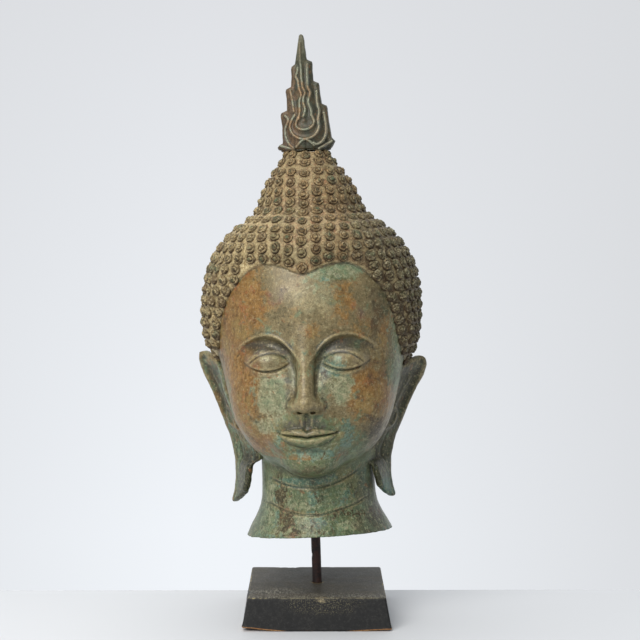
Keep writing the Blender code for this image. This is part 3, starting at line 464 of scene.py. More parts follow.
def flame(p):
    x, y, h = p.T
    w, d = FLAME_BODY_W(h), FLAME_BODY_D(h)
    a = np.sqrt((x / w) ** 2 + (y / d) ** 2)
    g = np.sqrt((x / w ** 2) ** 2 + (y / d ** 2) ** 2)
    body = a * (a - 1) / np.maximum(g, 1e-9) * 0.93
    edge = FLAME_EDGE(x, h) + 1.0
    thick = 7.5 - 3.8 * ramp(20, 95, h) - 0.12 * np.maximum(np.abs(x) - 14, 0)
    leaves = smax(edge, np.abs(y) - thick, 3.0) - 1.0
    f = smin(body, leaves, 2.0)
    f = smax(f, FLAME_EDGE(x, h), 2.0)
    return smax(f, -h, 0.4)


def from_flame(p):
    """Points of the flame's own frame in the head's frame."""
    b = math.radians(FLAME_LEAN)
    x, y, z = np.asarray(p, float).T
    return np.stack([x * math.cos(b) + z * math.sin(b), y, -x * math.sin(b) + z * math.cos(b)], 1) + np.array(FLAME_FOOT)


# ---------------------------------------------------------------- surface from a solid's field
def cell_patches():
    """For each of a cell's 256 sign patterns, which sheet of skin each of its 12 edges lies on."""
    table, count = np.zeros((256, 12), np.int64), np.zeros(256, np.int64)
    sides = []
    for axis in range(3):
        for level in (0, 1):
            on = [e for e, (a, b) in enumerate(EDGES) if (a >> axis) & 1 == level and (b >> axis) & 1 == level]
            sides.append(on)
    for pattern in range(256):
        inside = [(pattern >> c) & 1 for c in range(8)]
        crossed = [e for e, (a, b) in enumerate(EDGES) if inside[a] != inside[b]]
        group = {e: e for e in crossed}

        def root(e):
            while group[e] != e:
                e = group[e]
            return e

        for on in sides:
            cut_here = [e for e in on if e in group]
            if len(cut_here) == 2:
                group[root(cut_here[0])] = root(cut_here[1])
            elif len(cut_here) == 4:
                # two corners in, two out: the skin goes round each corner that is in
                for c in {k for e in cut_here for k in EDGES[e] if inside[k]}:
                    a, b = [e for e in cut_here if c in EDGES[e]]
                    group[root(a)] = root(b)
        names = sorted({root(e) for e in crossed})
        count[pattern] = len(names)
        for e in crossed:
            table[pattern, e] = names.index(root(e))
    return table, count


def sample_surface(field, lo, hi, step, levels=3, reach=1.9):
    """Points and quads of the skin where field() is zero, on a grid of the given step, found by halving
    coarse cells that the skin may pass through."""
    lo, hi = np.asarray(lo, float), np.asarray(hi, float)
    size = step * 2 ** levels
    n = np.ceil((hi - lo) / size).astype(np.int64)
    g = np.stack(np.meshgrid(*[np.arange(k) for k in n], indexing="ij"), -1).reshape(-1, 3)
    for level in range(levels + 1):
        if level:
            g = (g[:, None, :] * 2 + CORNERS[None]).reshape(-1, 3)
            size *= 0.5
        if level < levels or levels > 2:
            g = g[np.abs(field(lo + (g + 0.5) * size)) < (reach if level < levels else 2.2) * 0.87 * size + 1.0]
    n = n * 2 ** levels + 2
    stride = np.array([1, n[0], n[0] * n[1]], np.int64)
    cell_key = np.sort(g @ stride)
    corner_key = np.unique((cell_key[:, None] + (CORNERS @ stride)[None]).reshape(-1))

    def place(key):
        return np.stack([key % n[0], (key // n[0]) % n[1], key // (n[0] * n[1])], -1)

    value = field(lo + place(corner_key) * step)
    at = np.searchsorted(corner_key, cell_key[:, None] + (CORNERS @ stride)[None])
    pattern = ((value[at] < 0) * (1 << np.arange(8))[None]).sum(1)
    mixed = (pattern > 0) & (pattern < 255)
    cell_key, at, pattern = cell_key[mixed], at[mixed], pattern[mixed]
    table, count = cell_patches()
    base = np.concatenate([[0], np.cumsum(count[pattern])])
    # a sheet's point in a cell is the mean of its crossings there
    total, crossings = np.zeros((base[-1], 3)), np.zeros(base[-1])
    v = value[at]
    for e, (a, b) in enumerate(EDGES):
        cells = np.nonzero((v[:, a] < 0) != (v[:, b] < 0))[0]
        t = v[cells, a] / (v[cells, a] - v[cells, b])
        which = base[cells] + table[pattern[cells], e]
        np.add.at(total, which, CORNERS[a] + t[:, None] * (CORNERS[b] - CORNERS[a]))
        np.add.at(crossings, which, 1)
    cell_of = np.repeat(np.arange(len(cell_key)), count[pattern])
    points = lo + (place(cell_key)[cell_of] + total / crossings[:, None]) * step
    quads = []
    for axis in range(3):
        u, w = (axis + 1) % 3, (axis + 2) % 3
        there = np.minimum(np.searchsorted(corner_key, corner_key + stride[axis]), len(corner_key) - 1)
        real = corner_key[there] == corner_key + stride[axis]
        hit = real & ((value < 0) != (value[there] < 0))
        key, leaving = corner_key[hit], value[hit] < 0
        ring, whole = [], np.ones(len(key), bool)
        for du, dw in ((0, 0), (1, 0), (1, 1), (0, 1)):
            cell = key - du * stride[u] - dw * stride[w]
            found = np.minimum(np.searchsorted(cell_key, cell), len(cell_key) - 1)
            whole &= cell_key[found] == cell
            low = (du << u) | (dw << w)
            e = EDGES.index((low, low | (1 << axis)))
            ring.append(base[found] + table[pattern[found], e])
        ring = np.stack(ring, 1)[whole]
        quads.append(np.where(leaving[whole][:, None], ring, ring[:, ::-1]))
    return points, np.concatenate(quads)


def gradient(field, p, e):
    k = np.array([[1, -1, -1], [-1, -1, 1], [-1, 1, -1], [1, 1, 1]], float)
    return sum(k[i] * field(p + k[i] * e)[:, None] for i in range(4)) / (4 * e)


def settle(field, p, step, times=2):
    """Moves points onto the skin."""
    for _ in range(times):
        g = gradient(field, p, 0.2 * step)
        d = field(p)
        m = np.maximum((g * g).sum(1), 0.09)
        move = -(d / m)[:, None] * g
        size = np.linalg.norm(move, axis=1)
        p = p + move * np.minimum(1.0, 0.7 * step / np.maximum(size, 1e-9))[:, None]
    return p


def relax(field, p, quads, step, times=2, share=0.5):
    """Evens out the points along the skin, and puts them back on it."""
    a = quads.reshape(-1)
    b = np.roll(quads, -1, axis=1).reshape(-1)
    n = len(p)
    deg = np.bincount(a, minlength=n) + np.bincount(b, minlength=n)
    for _ in range(times):
        mean = np.stack([np.bincount(a, p[b, i], n) + np.bincount(b, p[a, i], n) for i in range(3)], -1)
        p = p + share * (mean / np.maximum(deg, 1)[:, None] - p)
        p = settle(field, p, step, 1)
    return settle(field, p, step, 2)


# ---------------------------------------------------------------- uneven surfaces: noise in millimetres
def lattice(i, j, k, seed):
    n = (i * 374761393 + j * 668265263 + k * 1440662683 + seed * 974634777) & 0xFFFFFFFF
    n = ((n ^ (n >> 13)) * 1274126177) & 0xFFFFFFFF
    return ((n ^ (n >> 16)) & 0xFFFF) / 65535.0


def noise(p, size, seed=0):
    """Smooth noise from 0 to 1 with bumps about size across."""
    q = np.asarray(p, float) / size + 1000.0
    i = np.floor(q).astype(np.int64)
    f = q - i
    f = f * f * (3 - 2 * f)
    total = 0.0
    for c in range(8):
        a, b, d = c & 1, (c >> 1) & 1, (c >> 2) & 1
        w = (f[:, 0] if a else 1 - f[:, 0]) * (f[:, 1] if b else 1 - f[:, 1]) * (f[:, 2] if d else 1 - f[:, 2])
        total = total + w * lattice(i[:, 0] + a, i[:, 1] + b, i[:, 2] + d, seed)
    return total


def cloud(p, size, octaves=3, seed=0):
    total, weight, w = 0.0, 0.0, 1.0
    for k in range(octaves):
        total = total + w * noise(p, size / 2 ** k, seed + 17 * k)
        weight += w
        w *= 0.55
    return total / weight


# ---------------------------------------------------------------- meshes
def new_mesh(name, points, faces, smooth=True):
    """points in mm in the part's frame; faces an (n, 3) or (n, 4) array."""
    points, faces = np.asarray(points, np.float32), np.asarray(faces, np.int32)
    mesh = bpy.data.meshes.new(name)
    mesh.vertices.add(len(points))
    mesh.vertices.foreach_set("co", (points * MM).astype(np.float32).ravel())
    mesh.loops.add(faces.size)
    mesh.loops.foreach_set("vertex_index", faces.ravel())
    mesh.polygons.add(len(faces))
    mesh.polygons.foreach_set("loop_start", np.arange(len(faces), dtype=np.int32) * faces.shape[1])
    mesh.polygons.foreach_set("use_smooth", np.full(len(faces), smooth))
    mesh.update(calc_edges=True)
    mesh.validate()
    return mesh


def put(name, mesh):
    obj = bpy.data.objects.new(name, mesh)
    bpy.context.scene.collection.objects.link(obj)
    return obj


def co_of(mesh):
    co = np.empty(len(mesh.vertices) * 3, np.float32)
    mesh.vertices.foreach_get("co", co)
    return co.reshape(-1, 3).astype(float) / MM


def keep_inside(mesh):
    """Holds the surface within the CAD's box."""
    lo, hi = np.array(cad_box[0]) + 2e-5, np.array(cad_box[1]) - 2e-5
    co = np.clip(co_of(mesh) * MM, lo, hi)
    mesh.vertices.foreach_set("co", co.astype(np.float32).ravel())
    mesh.update()


def give(mesh, name, values):
    a = mesh.attributes.new(name, "FLOAT", "POINT")
    a.data.foreach_set("value", np.asarray(values, np.float32))


def fewer(obj, most, weight=None):
    """Collapses edges until the mesh has about that many triangles, more of them where the weight is high."""
    mesh = obj.data
    mesh.calc_loop_triangles()
    have = len(mesh.loop_triangles)
    if have <= most:
        return obj
    thin = obj.modifiers.new("fewer_faces", "DECIMATE")
    thin.ratio = most / have
    if weight is not None:
        group = obj.vertex_groups.new(name="thin")
        for level in np.unique(np.round(weight, 1)):
            if level > 0:
                group.add(np.nonzero(np.round(weight, 1) == level)[0].tolist(), float(level), "REPLACE")
        thin.vertex_group = "thin"
    bpy.context.view_layer.update()
    made = bpy.data.meshes.new_from_object(obj.evaluated_get(bpy.context.evaluated_depsgraph_get()))
    obj.modifiers.clear()
    obj.vertex_groups.clear()
    obj.data = made
    bpy.data.meshes.remove(mesh)
    made.name = obj.name
    # the collapse can leave a few pinholes in tight creases
    bm = bmesh.new()
    bm.from_mesh(made)
    rims = [e for e in bm.edges if e.is_boundary]
    if rims:
        bmesh.ops.holes_fill(bm, edges=rims, sides=8)
        bm.to_mesh(made)
    bm.free()
    made.polygons.foreach_set("use_smooth", np.full(len(made.polygons), True))
    return obj


def to_head(w):
    """Points of the part's frame in the head's frame, mm."""
    a, b = math.radians(HEAD_TURN), math.radians(HEAD_LEAN)
    foot = np.array(HEAD_FOOT)
    x, y, z = (np.asarray(w, float) - foot - np.array([0, 0, RISE])).T
    x, z = x * math.cos(b) - z * math.sin(b), x * math.sin(b) + z * math.cos(b)
    x, y = x * math.cos(a) + y * math.sin(a), -x * math.sin(a) + y * math.cos(a)
    return np.stack([x, y, z + foot[2]], 1)


def to_flame(p):
    """Points of the head's frame in the flame's frame."""
    b = math.radians(FLAME_LEAN)
    x, y, z = (np.asarray(p, float) - np.array(FLAME_FOOT)).T
    return np.stack([x * math.cos(b) - z * math.sin(b), y, x * math.sin(b) + z * math.cos(b)], 1)


# ---------------------------------------------------------------- the head's casting, with its finer relief
WALL, HOLLOW_Z = 6.0, 119.0
CAP_UP = 2.2                       # how far the hair's ground stands off its under-body
FOLD_UP = track([(-46, 143.5), (-29, 139.0), (-14, 136.8), (0, 136.6), (17, 139.2), (32, 144.2), (46, 151.5)])      # creases across the neck
FOLD_LOW = track([(-46, 117.5), (-32, 112.4), (-10, 108.8), (4, 108.6), (16, 110.8), (29, 113.6), (39, 116.0), (52, 121.0)])


def neck_marks(p):
    """Two creases across the front of the neck, and a swelling between them."""
    x, y, z = p.T
    front = ramp(10, -22, y) * (1 - ramp(46, 58, np.abs(x)))
    up = bell(z - FOLD_UP(x), 1.0) * front * (1 - ramp(38, 50, np.abs(x)))
    low = bell(z - FOLD_LOW(x), 0.9) * front
    swell = bell(z - 124.5, 9.0) * front
    return 1.1 * up + 1.0 * low - 1.3 * swell


def hair_skin(p):
    """The hair's ground between the curls, run on past its edge."""
    m = hair_margin(p)
    s = skull(p) - 1.5
    t = ramp(-2, 20, m)
    return (1 - t) * s + t * np.minimum(hair_body(p) - CAP_UP, s)


def casting(p):
    f = smin(skin(p), smax(hair_skin(p), 0.6 - hair_margin(p), 1.8), 0.9)
    z = p[:, 2]
    low = z < 165
    if low.any():
        q = p[low]
        g = f[low] + neck_marks(q)
        w = above_cut(q)
        g = smax(g, -w + 0.9 * np.maximum(noise(q, 5.5, 3) - 0.45, 0) + 0.25 * noise(q, 1.9, 5), 0.6)
        r = np.hypot(q[:, 0] - NECK_X, q[:, 1] - NECK_Y)
        inside = smax(r - NECK(q[:, 2]) + WALL + 0.8 * noise(q, 14, 9), q[:, 2] - HOLLOW_Z, 1.0)
        f[low] = smax(g, -inside, 0.7)
    # cast bronze is never quite even
    shell = np.abs(f) < 4
    if shell.any():
        q = p[shell]
        m = hair_margin(q)
        crusty = np.maximum(ramp(-2, 3, m), 0.6 * (np.abs(q[:, 0]) > 66) * (q[:, 2] < 285))
        f[shell] += 0.34 * (noise(q, 26, 11) - 0.5) + 0.16 * (noise(q, 7, 12) - 0.5) + crusty * (0.6 * (noise(q, 4.6, 13) - 0.5) + 0.55 * (noise(q, 2.4, 14) - 0.5))
    return smax(f, z - KNOT_TOP_Z, 0.5)


def build_casting():
    step = 1.2
    points, quads = sample_surface(casting, (-132, -132, 58), (132, 132, 492), step, 3, 2.4)
    points = relax(casting, points, quads, step, 1)
    mesh = new_mesh("head_casting", from_head(points), quads)
    obj = put("head_casting", mesh)
    m = hair_margin(points)
    inner = (np.hypot(points[:, 0] - NECK_X, points[:, 1] - NECK_Y) < NECK(points[:, 2]) - 3.5) & (points[:, 2] < HOLLOW_Z + 1.5)
    plain = np.where(m > 4, 0.5, np.where(points[:, 1] > 30, 0.4, 0.1))
    fewer(obj, 196000, np.where(inner, 1.0, plain))
    keep_inside(obj.data)
    return obj


# ---------------------------------------------------------------- the curls
CURL_R, CURL_TALL, CURL_GAP = 5.35, 3.8, 14.7
# heights of the rows in the middle and past it
ROWS_TOP = [(477.4, 478.2), (469.2, 470.6), (458.2, 460.4), (447.0, 450.2), (436.0, 440.4), (427.0, 430.6), (418.6, 421.2)]
ROWS_BROW = [(410.5, 412.4), (400.3, 404.0), (390.6, 395.2), (379.0, 385.0), (365.3, 374.2)]
ROWS_SIDE = [364.2, 353.2, 341.8, 330.4, 318.8, 307.2, 295.6, 284.0, 272.4, 260.8, 249.2, 237.6, 226.0, 214.4, 202.8, 191.2]


def row_points(height, side):
    """A fine run of points along a row of curls, from the front middle to the back middle, on one side."""
    a = np.radians(np.arange(0, 180.01, 0.5))
    z = height(np.degrees(a))
    y0 = np.where(z > 425, KNOT_Y, CAP_Y)
    lo, hi = np.full(len(a), 2.0), np.full(len(a), 150.0)
    for _ in range(26):
        r = (lo + hi) / 2
        q = np.stack([side * r * np.sin(a), y0 - r * np.cos(a), z], 1)
        inside = hair_skin(q) < 0
        lo, hi = np.where(inside, r, lo), np.where(inside, hi, r)
    return np.stack([side * lo * np.sin(a), y0 - lo * np.cos(a), z], 1)


def curl_centres():
    rows = [(lambda a, c=c, s=s: c + (s - c) * ramp(0, 22, a)) for c, s in ROWS_TOP]
    rows += [(lambda a, c=c, s=s: c + (s - c) * ramp(0, 14, a)) for c, s in ROWS_BROW]
    rows += [(lambda a, h=h: np.full(len(a), h)) for h in ROWS_SIDE]
    places = []
    for k, height in enumerate(rows):
        whole = k < len(ROWS_TOP) + len(ROWS_BROW)
        for side in (1, -1):
            line = row_points(height, side)
            along = np.concatenate([[0], np.cumsum(np.linalg.norm(np.diff(line, axis=0), axis=1))])
            start = 0.0
            if not whole:
                free = hair_margin(line) > 3.6
                if not free.any():
                    continue
                start = along[np.argmax(free)]
            n = max(1, int(round((along[-1] - start) / CURL_GAP)))
            s = start + (along[-1] - start) * np.arange(n + 1) / n
            if side < 0:
                s = s[1:-1] if whole else s[:-1]
            for t in s:
                q = [np.interp(t, along, line[:, i]) for i in range(3)]
                places.append(q + [k, t])
    return np.array(places)


# a snail curl's height by the distance from its middle, both as shares: nub, groove, outer coil, foot;
# in front the nub stands clear of its coil, at the sides the two have grown together under crust
COIL = track([(0, 1.0), (0.12, 0.99), (0.24, 0.95), (0.36, 0.84), (0.43, 0.66), (0.48, 0.48), (0.54, 0.37), (0.60, 0.41), (0.70, 0.49), (0.80, 0.48), (0.89, 0.40), (0.95, 0.26), (1.0, 0.0), (1.06, -0.20)], 400)
CRUSTED = track([(0, 1.0), (0.12, 0.99), (0.24, 0.96), (0.36, 0.90), (0.43, 0.84), (0.48, 0.76), (0.54, 0.66), (0.60, 0.62), (0.70, 0.62), (0.80, 0.57), (0.89, 0.48), (0.95, 0.34), (1.0, 0.0), (1.06, -0.20)], 400)


def knob_pattern(rings, sides):
    """A snail curl of radius 1: its points as x and y, their coils' shares of the radius, how deep in the groove, their angle and its faces."""
    full = [0.12, 0.24, 0.34, 0.41, 0.47, 0.54, 0.61, 0.70, 0.80, 0.89, 0.95, 1.0, 1.06]
    some = [0.15, 0.29, 0.40, 0.48, 0.57, 0.69, 0.82, 0.93, 1.0, 1.06]
    r = np.array(full if rings else some)
    a = np.arange(sides) * 2 * math.pi / sides
    rows, coil = [], []
    for radius in r:
        # the groove winds outwards once round
        wind = 0.12 * (a / (2 * math.pi) - 0.5) * ramp(0.10, 0.35, radius) * (1 - ramp(0.80, 0.95, radius))
        rows.append(np.stack([radius * np.cos(a), radius * np.sin(a)], 1))
        coil.append(radius + wind)
    flat = np.concatenate([[[0, 0]]] + rows + [[[0, 0]]])
    share = np.concatenate([[0.0]] + [np.full(sides, v) for v in r] + [[1.06]])
    coil = np.concatenate([[0.0]] + coil + [[1.06]])
    angle = np.concatenate([[0.0]] + [a for _ in r] + [[0.0]])
    faces = []
    for j in range(len(r) - 1):
        for k in range(sides):
            p, q = 1 + j * sides + k, 1 + j * sides + (k + 1) % sides
            faces += [(p, p + sides, q + sides), (p, q + sides, q)]
    last = len(flat) - 1
    for k in range(sides):
        faces.append((0, 1 + k, 1 + (k + 1) % sides))
        faces.append((last, last - sides + (k + 1) % sides, last - sides + k))
    return flat, share, coil, angle, np.array(faces)


def build_curls():
    rng = np.random.default_rng(41)
    places = curl_centres()
    q = places[:, :3]
    jitter = rng.uniform(-0.6, 0.6, (len(q), 3))
    q = settle(hair_skin, q + jitter, 2.0, 3)
    out = gradient(hair_skin, q, 1.2)
    out /= np.linalg.norm(out, axis=1)[:, None]
    keep = (q[:, 2] < KNOT_TOP_Z - 1) & (hair_margin(q) > 2.2)
    side_ear = (np.abs(q[:, 0]) > 60) & (q[:, 2] < 292)
    keep &= ~side_ear | (ears(q + out * 1.0) > 0.0)
    q, out, places = q[keep], out[keep], places[keep]
    up = np.array([0, 0, 1.0]) - out * out[:, 2:3]
    up /= np.maximum(np.linalg.norm(up, axis=1), 1e-6)[:, None]
    right = np.cross(up, out)
    n = len(q)
    radius = CURL_R * rng.uniform(0.92, 1.07, n)
    # round the sides and behind, the curls are thick with crust
    crusted = np.maximum(ramp(26, 70, q[:, 0]), np.maximum(0.8 * ramp(-62, -92, q[:, 0]), ramp(0, 40, q[:, 1])))
    crusted = np.clip(crusted + rng.normal(0, 0.16, n), 0, 1)
    radius *= (1 + 0.07 * crusted) * np.where(q[:, 2] > 465, 0.95, 1.0)
    tall = CURL_TALL * rng.uniform(0.84, 1.06, n)
    # the coils open to the outside of the head on each half, and lean a little
    tilt = rng.normal(0, 0.16, (n, 2))
    turn = rng.normal(0, 0.8, n) + np.where(q[:, 0] > 0, 0.6, 2.4)
    tint = rng.uniform(0, 1, n)
    squash = rng.uniform(0.92, 1.08, n)
    flat, share, coil, angle, faces = knob_pattern(1, 28)
    each = len(flat)
    parts = []
    order = np.argsort(np.arctan2(q[:, 0], -(q[:, 1] - CAP_Y)) + 0.0, kind="stable")
    cut_at = [0, n // 3, 2 * n // 3, n]
    names = ("curls_left", "curls_front", "curls_right")
    grid = int(math.ceil(math.sqrt(n / 3 + 1)))
    for name, i0, i1 in zip(names, cut_at, cut_at[1:]):
        who = order[i0:i1]
        much = crusted[who][:, None]
        c, s = np.cos(turn[who])[:, None], np.sin(turn[who])[:, None]
        x = (flat[None, :, 0] * c - flat[None, :, 1] * s) * (radius[who] * squash[who])[:, None]
        y = (flat[None, :, 0] * s + flat[None, :, 1] * c) * (radius[who] / squash[who])[:, None]
        # worn unevenly, each in its own way
        place = np.stack([x + 40 * who[:, None], y, 0 * x], -1).reshape(-1, 3)
        at = coil[None, :] + 0.16 * (noise(place, 3.4, 23) - 0.5).reshape(len(who), -1) * (coil > 0.1) * (coil < 0.94)
        profile = COIL(at) * (1 - much) + CRUSTED(at) * much
        dent = (noise(place, 2.8, 21) - 0.5).reshape(len(who), -1)
        fine = (noise(place, 1.4, 22) - 0.5).reshape(len(who), -1)
        h = profile * tall[who][:, None]
        h = h + (x * tilt[who][:, :1] + y * tilt[who][:, 1:]) * 0.35 * np.clip(profile, 0, 1)
        h = np.where(profile > 0.05, h * (1 - 0.12 * much) + (0.7 + 0.8 * much) * dent + (0.5 + 0.9 * much) * fine, h)
        h = np.minimum(h, 3.5)
        swell = 1 + 0.10 * much * dent * (profile > 0.02)
        world = q[who][:, None, :] + (x * swell)[..., None] * right[who][:, None, :] + (y * swell)[..., None] * up[who][:, None, :] + h[..., None] * out[who][:, None, :]
        world = world.reshape(-1, 3)
        tris = (faces[None] + (np.arange(len(who)) * each)[:, None, None]).reshape(-1, 3)
        mesh = new_mesh(name, from_head(world), tris)
        reps = len(who)
        give(mesh, "lift", np.clip(profile, 0, 1).ravel())   # 1 on the nub
        give(mesh, "groove", (np.maximum(bell(at - 0.53, 0.075), 0.3 * bell(at - 0.16, 0.04)) * (1 - 0.45 * much)).ravel())
        give(mesh, "edge", np.tile(share, reps))
        give(mesh, "tint", np.repeat(tint[who], each))
        # painted shade towards the right side
        give(mesh, "shade", np.repeat(ramp(28, 80, q[who, 0]), each))
        # painted light towards the left side
        give(mesh, "light", np.repeat(ramp(-10, -62, q[who, 0]) * (1 - ramp(40, 70, q[who, 1])), each))
        give(mesh, "dent", np.clip(0.5 - dent - 0.8 * fine, 0, 1).ravel())
        keep_inside(mesh)
        # each curl has its own square of the map
        uv = mesh.uv_layers.new(name="OFBake")
        cell = np.arange(reps)
        spread = 0.45 * share[None, :] ** 0.9 / 1.02 ** 0.9
        u = ((cell % grid)[:, None] + 0.5 + spread * np.cos(angle)[None, :]) / grid
        v = ((cell // grid)[:, None] + 0.5 + spread * np.sin(angle)[None, :]) / grid
        spots = np.stack([u, v], -1).reshape(-1, 2)
        corner = np.empty(len(mesh.loops), np.int32)
        mesh.loops.foreach_get("vertex_index", corner)
        uv.data.foreach_set("uv", spots[corner].astype(np.float32).ravel())
        parts.append(put(name, mesh))
    return parts, q


# ---------------------------------------------------------------- the flame, with its ridges
def smooth_line(pts, per=6):
    """A soft line through points (Catmull-Rom)."""
    p = np.asarray(pts, float)
    if len(p) < 3:
        return p
    e = np.concatenate([[2 * p[0] - p[1]], p, [2 * p[-1] - p[-2]]])
    t = np.arange(per) / per
    rows = []
    for i in range(len(p) - 1):
        a, b, c, d = e[i], e[i + 1], e[i + 2], e[i + 3]
        rows.append(0.5 * ((2 * b)[None] + np.outer(t, c - a) + np.outer(t ** 2, 2 * a - 5 * b + 4 * c - d) + np.outer(t ** 3, 3 * b - a - 3 * c + d)))
    return np.concatenate(rows + [p[-1:]])


# across and up, mm: the tongues of flame that rise round the pearl
RIDGES = [
    [(-0.2, 36), (1.9, 43), (0.4, 49), (0.3, 55), (2.3, 60.5), (0, 66), (-0.6, 71), (-1.3, 78), (-1.2, 86.5), (-1.8, 95), (-1.4, 112)],
    [(8.1, 36.6), (8, 42), (5.3, 51), (7.5, 60.5), (5.1, 66), (5.1, 74), (5, 81), (5.5, 90)],
    [(-5.1, 33.5), (-3.8, 42), (-3.8, 52), (-1.8, 58.7), (-4, 65.7), (-5, 73.5), (-7.0, 78), (-5.3, 83), (-4.9, 87)],
    [(8.4, 36.5), (10.8, 30), (7.5, 24.6), (1.4, 22.4), (-4.8, 23.4), (-8.4, 27.5), (-6.5, 33.5), (-5.1, 36)],
    [(13.7, 62), (13.8, 55), (14.7, 47), (16.1, 41), (14.8, 32), (15.2, 24), (11.5, 17), (4.4, 13.3), (-4.3, 13.3), (-11.9, 18), (-15, 26), (-13, 32.6), (-9.2, 38)],
    [(-13.6, 64), (-12.6, 58), (-11.3, 50), (-10.3, 42)],
    [(20.4, 39), (21.7, 30), (22.1, 20), (19, 11), (12.8, 6.8), (9.0, 8.6)],
    [(-20, 38), (-16.8, 33.0), (-20.2, 25), (-20.2, 17), (-16.7, 8.5), (-12.5, 4.4)],
    [(-27, 7.4), (-19, 4.8), (-12, 2.6)],
    [(27, 9.6), (20, 5.4), (14.3, 2.2)],
    [(-9, 5.0), (-3.5, 10.6), (0.9, 12.3), (5.5, 10.2), (9.5, 6.0)],
]
SEAM = [(0.9, 11.2), (0.9, 1.6)]


def ridge_chart(q):
    best = np.full(len(q), 1e9)
    for line in RIDGES:
        best = np.minimum(best, to_line(q, smooth_line(line, 4))[0])
    return best


def build_flame():
    ridges = Chart((-36, -6), (36, 130), 0.4, ridge_chart)
    seam = Chart((-36, -6), (36, 30), 0.5, lambda q: to_line(q, SEAM)[0])

    def relief(p):
        x, y, h = p.T
        d = ridges(x, h)
        rise = 1.6 * bell(d, 1.25) - 0.85 * (1 - bell(d, 3.2)) * (1 - ramp(94, 106, h))
        rise -= 0.8 * bell(seam(x, h), 0.7) * (h < 14)
        ring = np.hypot((x - 1.0) / 8.4, (h - 30) / 6.6)
        rise += 1.1 * bell(np.hypot(x - 0.6, h - 31), 2.1) - 0.7 * (ring < 0.9) * (1 - ring)
        rise += 0.5 * ramp(-2.2, -0.4, FLAME_EDGE(x, h)) * (h > 9)
        return rise * ramp(0.6, 3.0, np.abs(y))

    def field(p):
        f = flame(p)
        near = np.abs(f) < 5
        if near.any():
            q = p[near]
            f[near] = f[near] - relief(q) + 0.5 * (noise(q, 9, 31) - 0.5) + 0.22 * (noise(q, 2.6, 33) - 0.5)
        f = smax(f, FLAME_EDGE(p[:, 0], p[:, 2]) + 0.35 * (noise(p, 4, 35) - 0.5), 0.8)
        collar = 0.7 * bell(p[:, 2] - 2.4, 0.6)
        return smax(f + collar, -p[:, 2], 0.3)

    step = 0.62
    points, quads = sample_surface(field, (-35, -26, -4), (35, 26, 128), step, 3, 2.4)
    points = relax(field, points, quads, step, 1)
    mesh = new_mesh("flame_crest", from_head(from_flame(points)), quads)
    obj = put("flame_crest", mesh)
    fewer(obj, 120000)
    keep_inside(obj.data)
    p = to_flame(to_head(co_of(obj.data)))
    d = ridges(p[:, 0], p[:, 2])
    give(obj.data, "ridge", bell(d, 1.45) * ramp(0.6, 3.0, np.abs(p[:, 1])))
    give(obj.data, "across", p[:, 0] / 30)
    give(obj.data, "height", p[:, 2] / FLAME_TALL)
    return obj


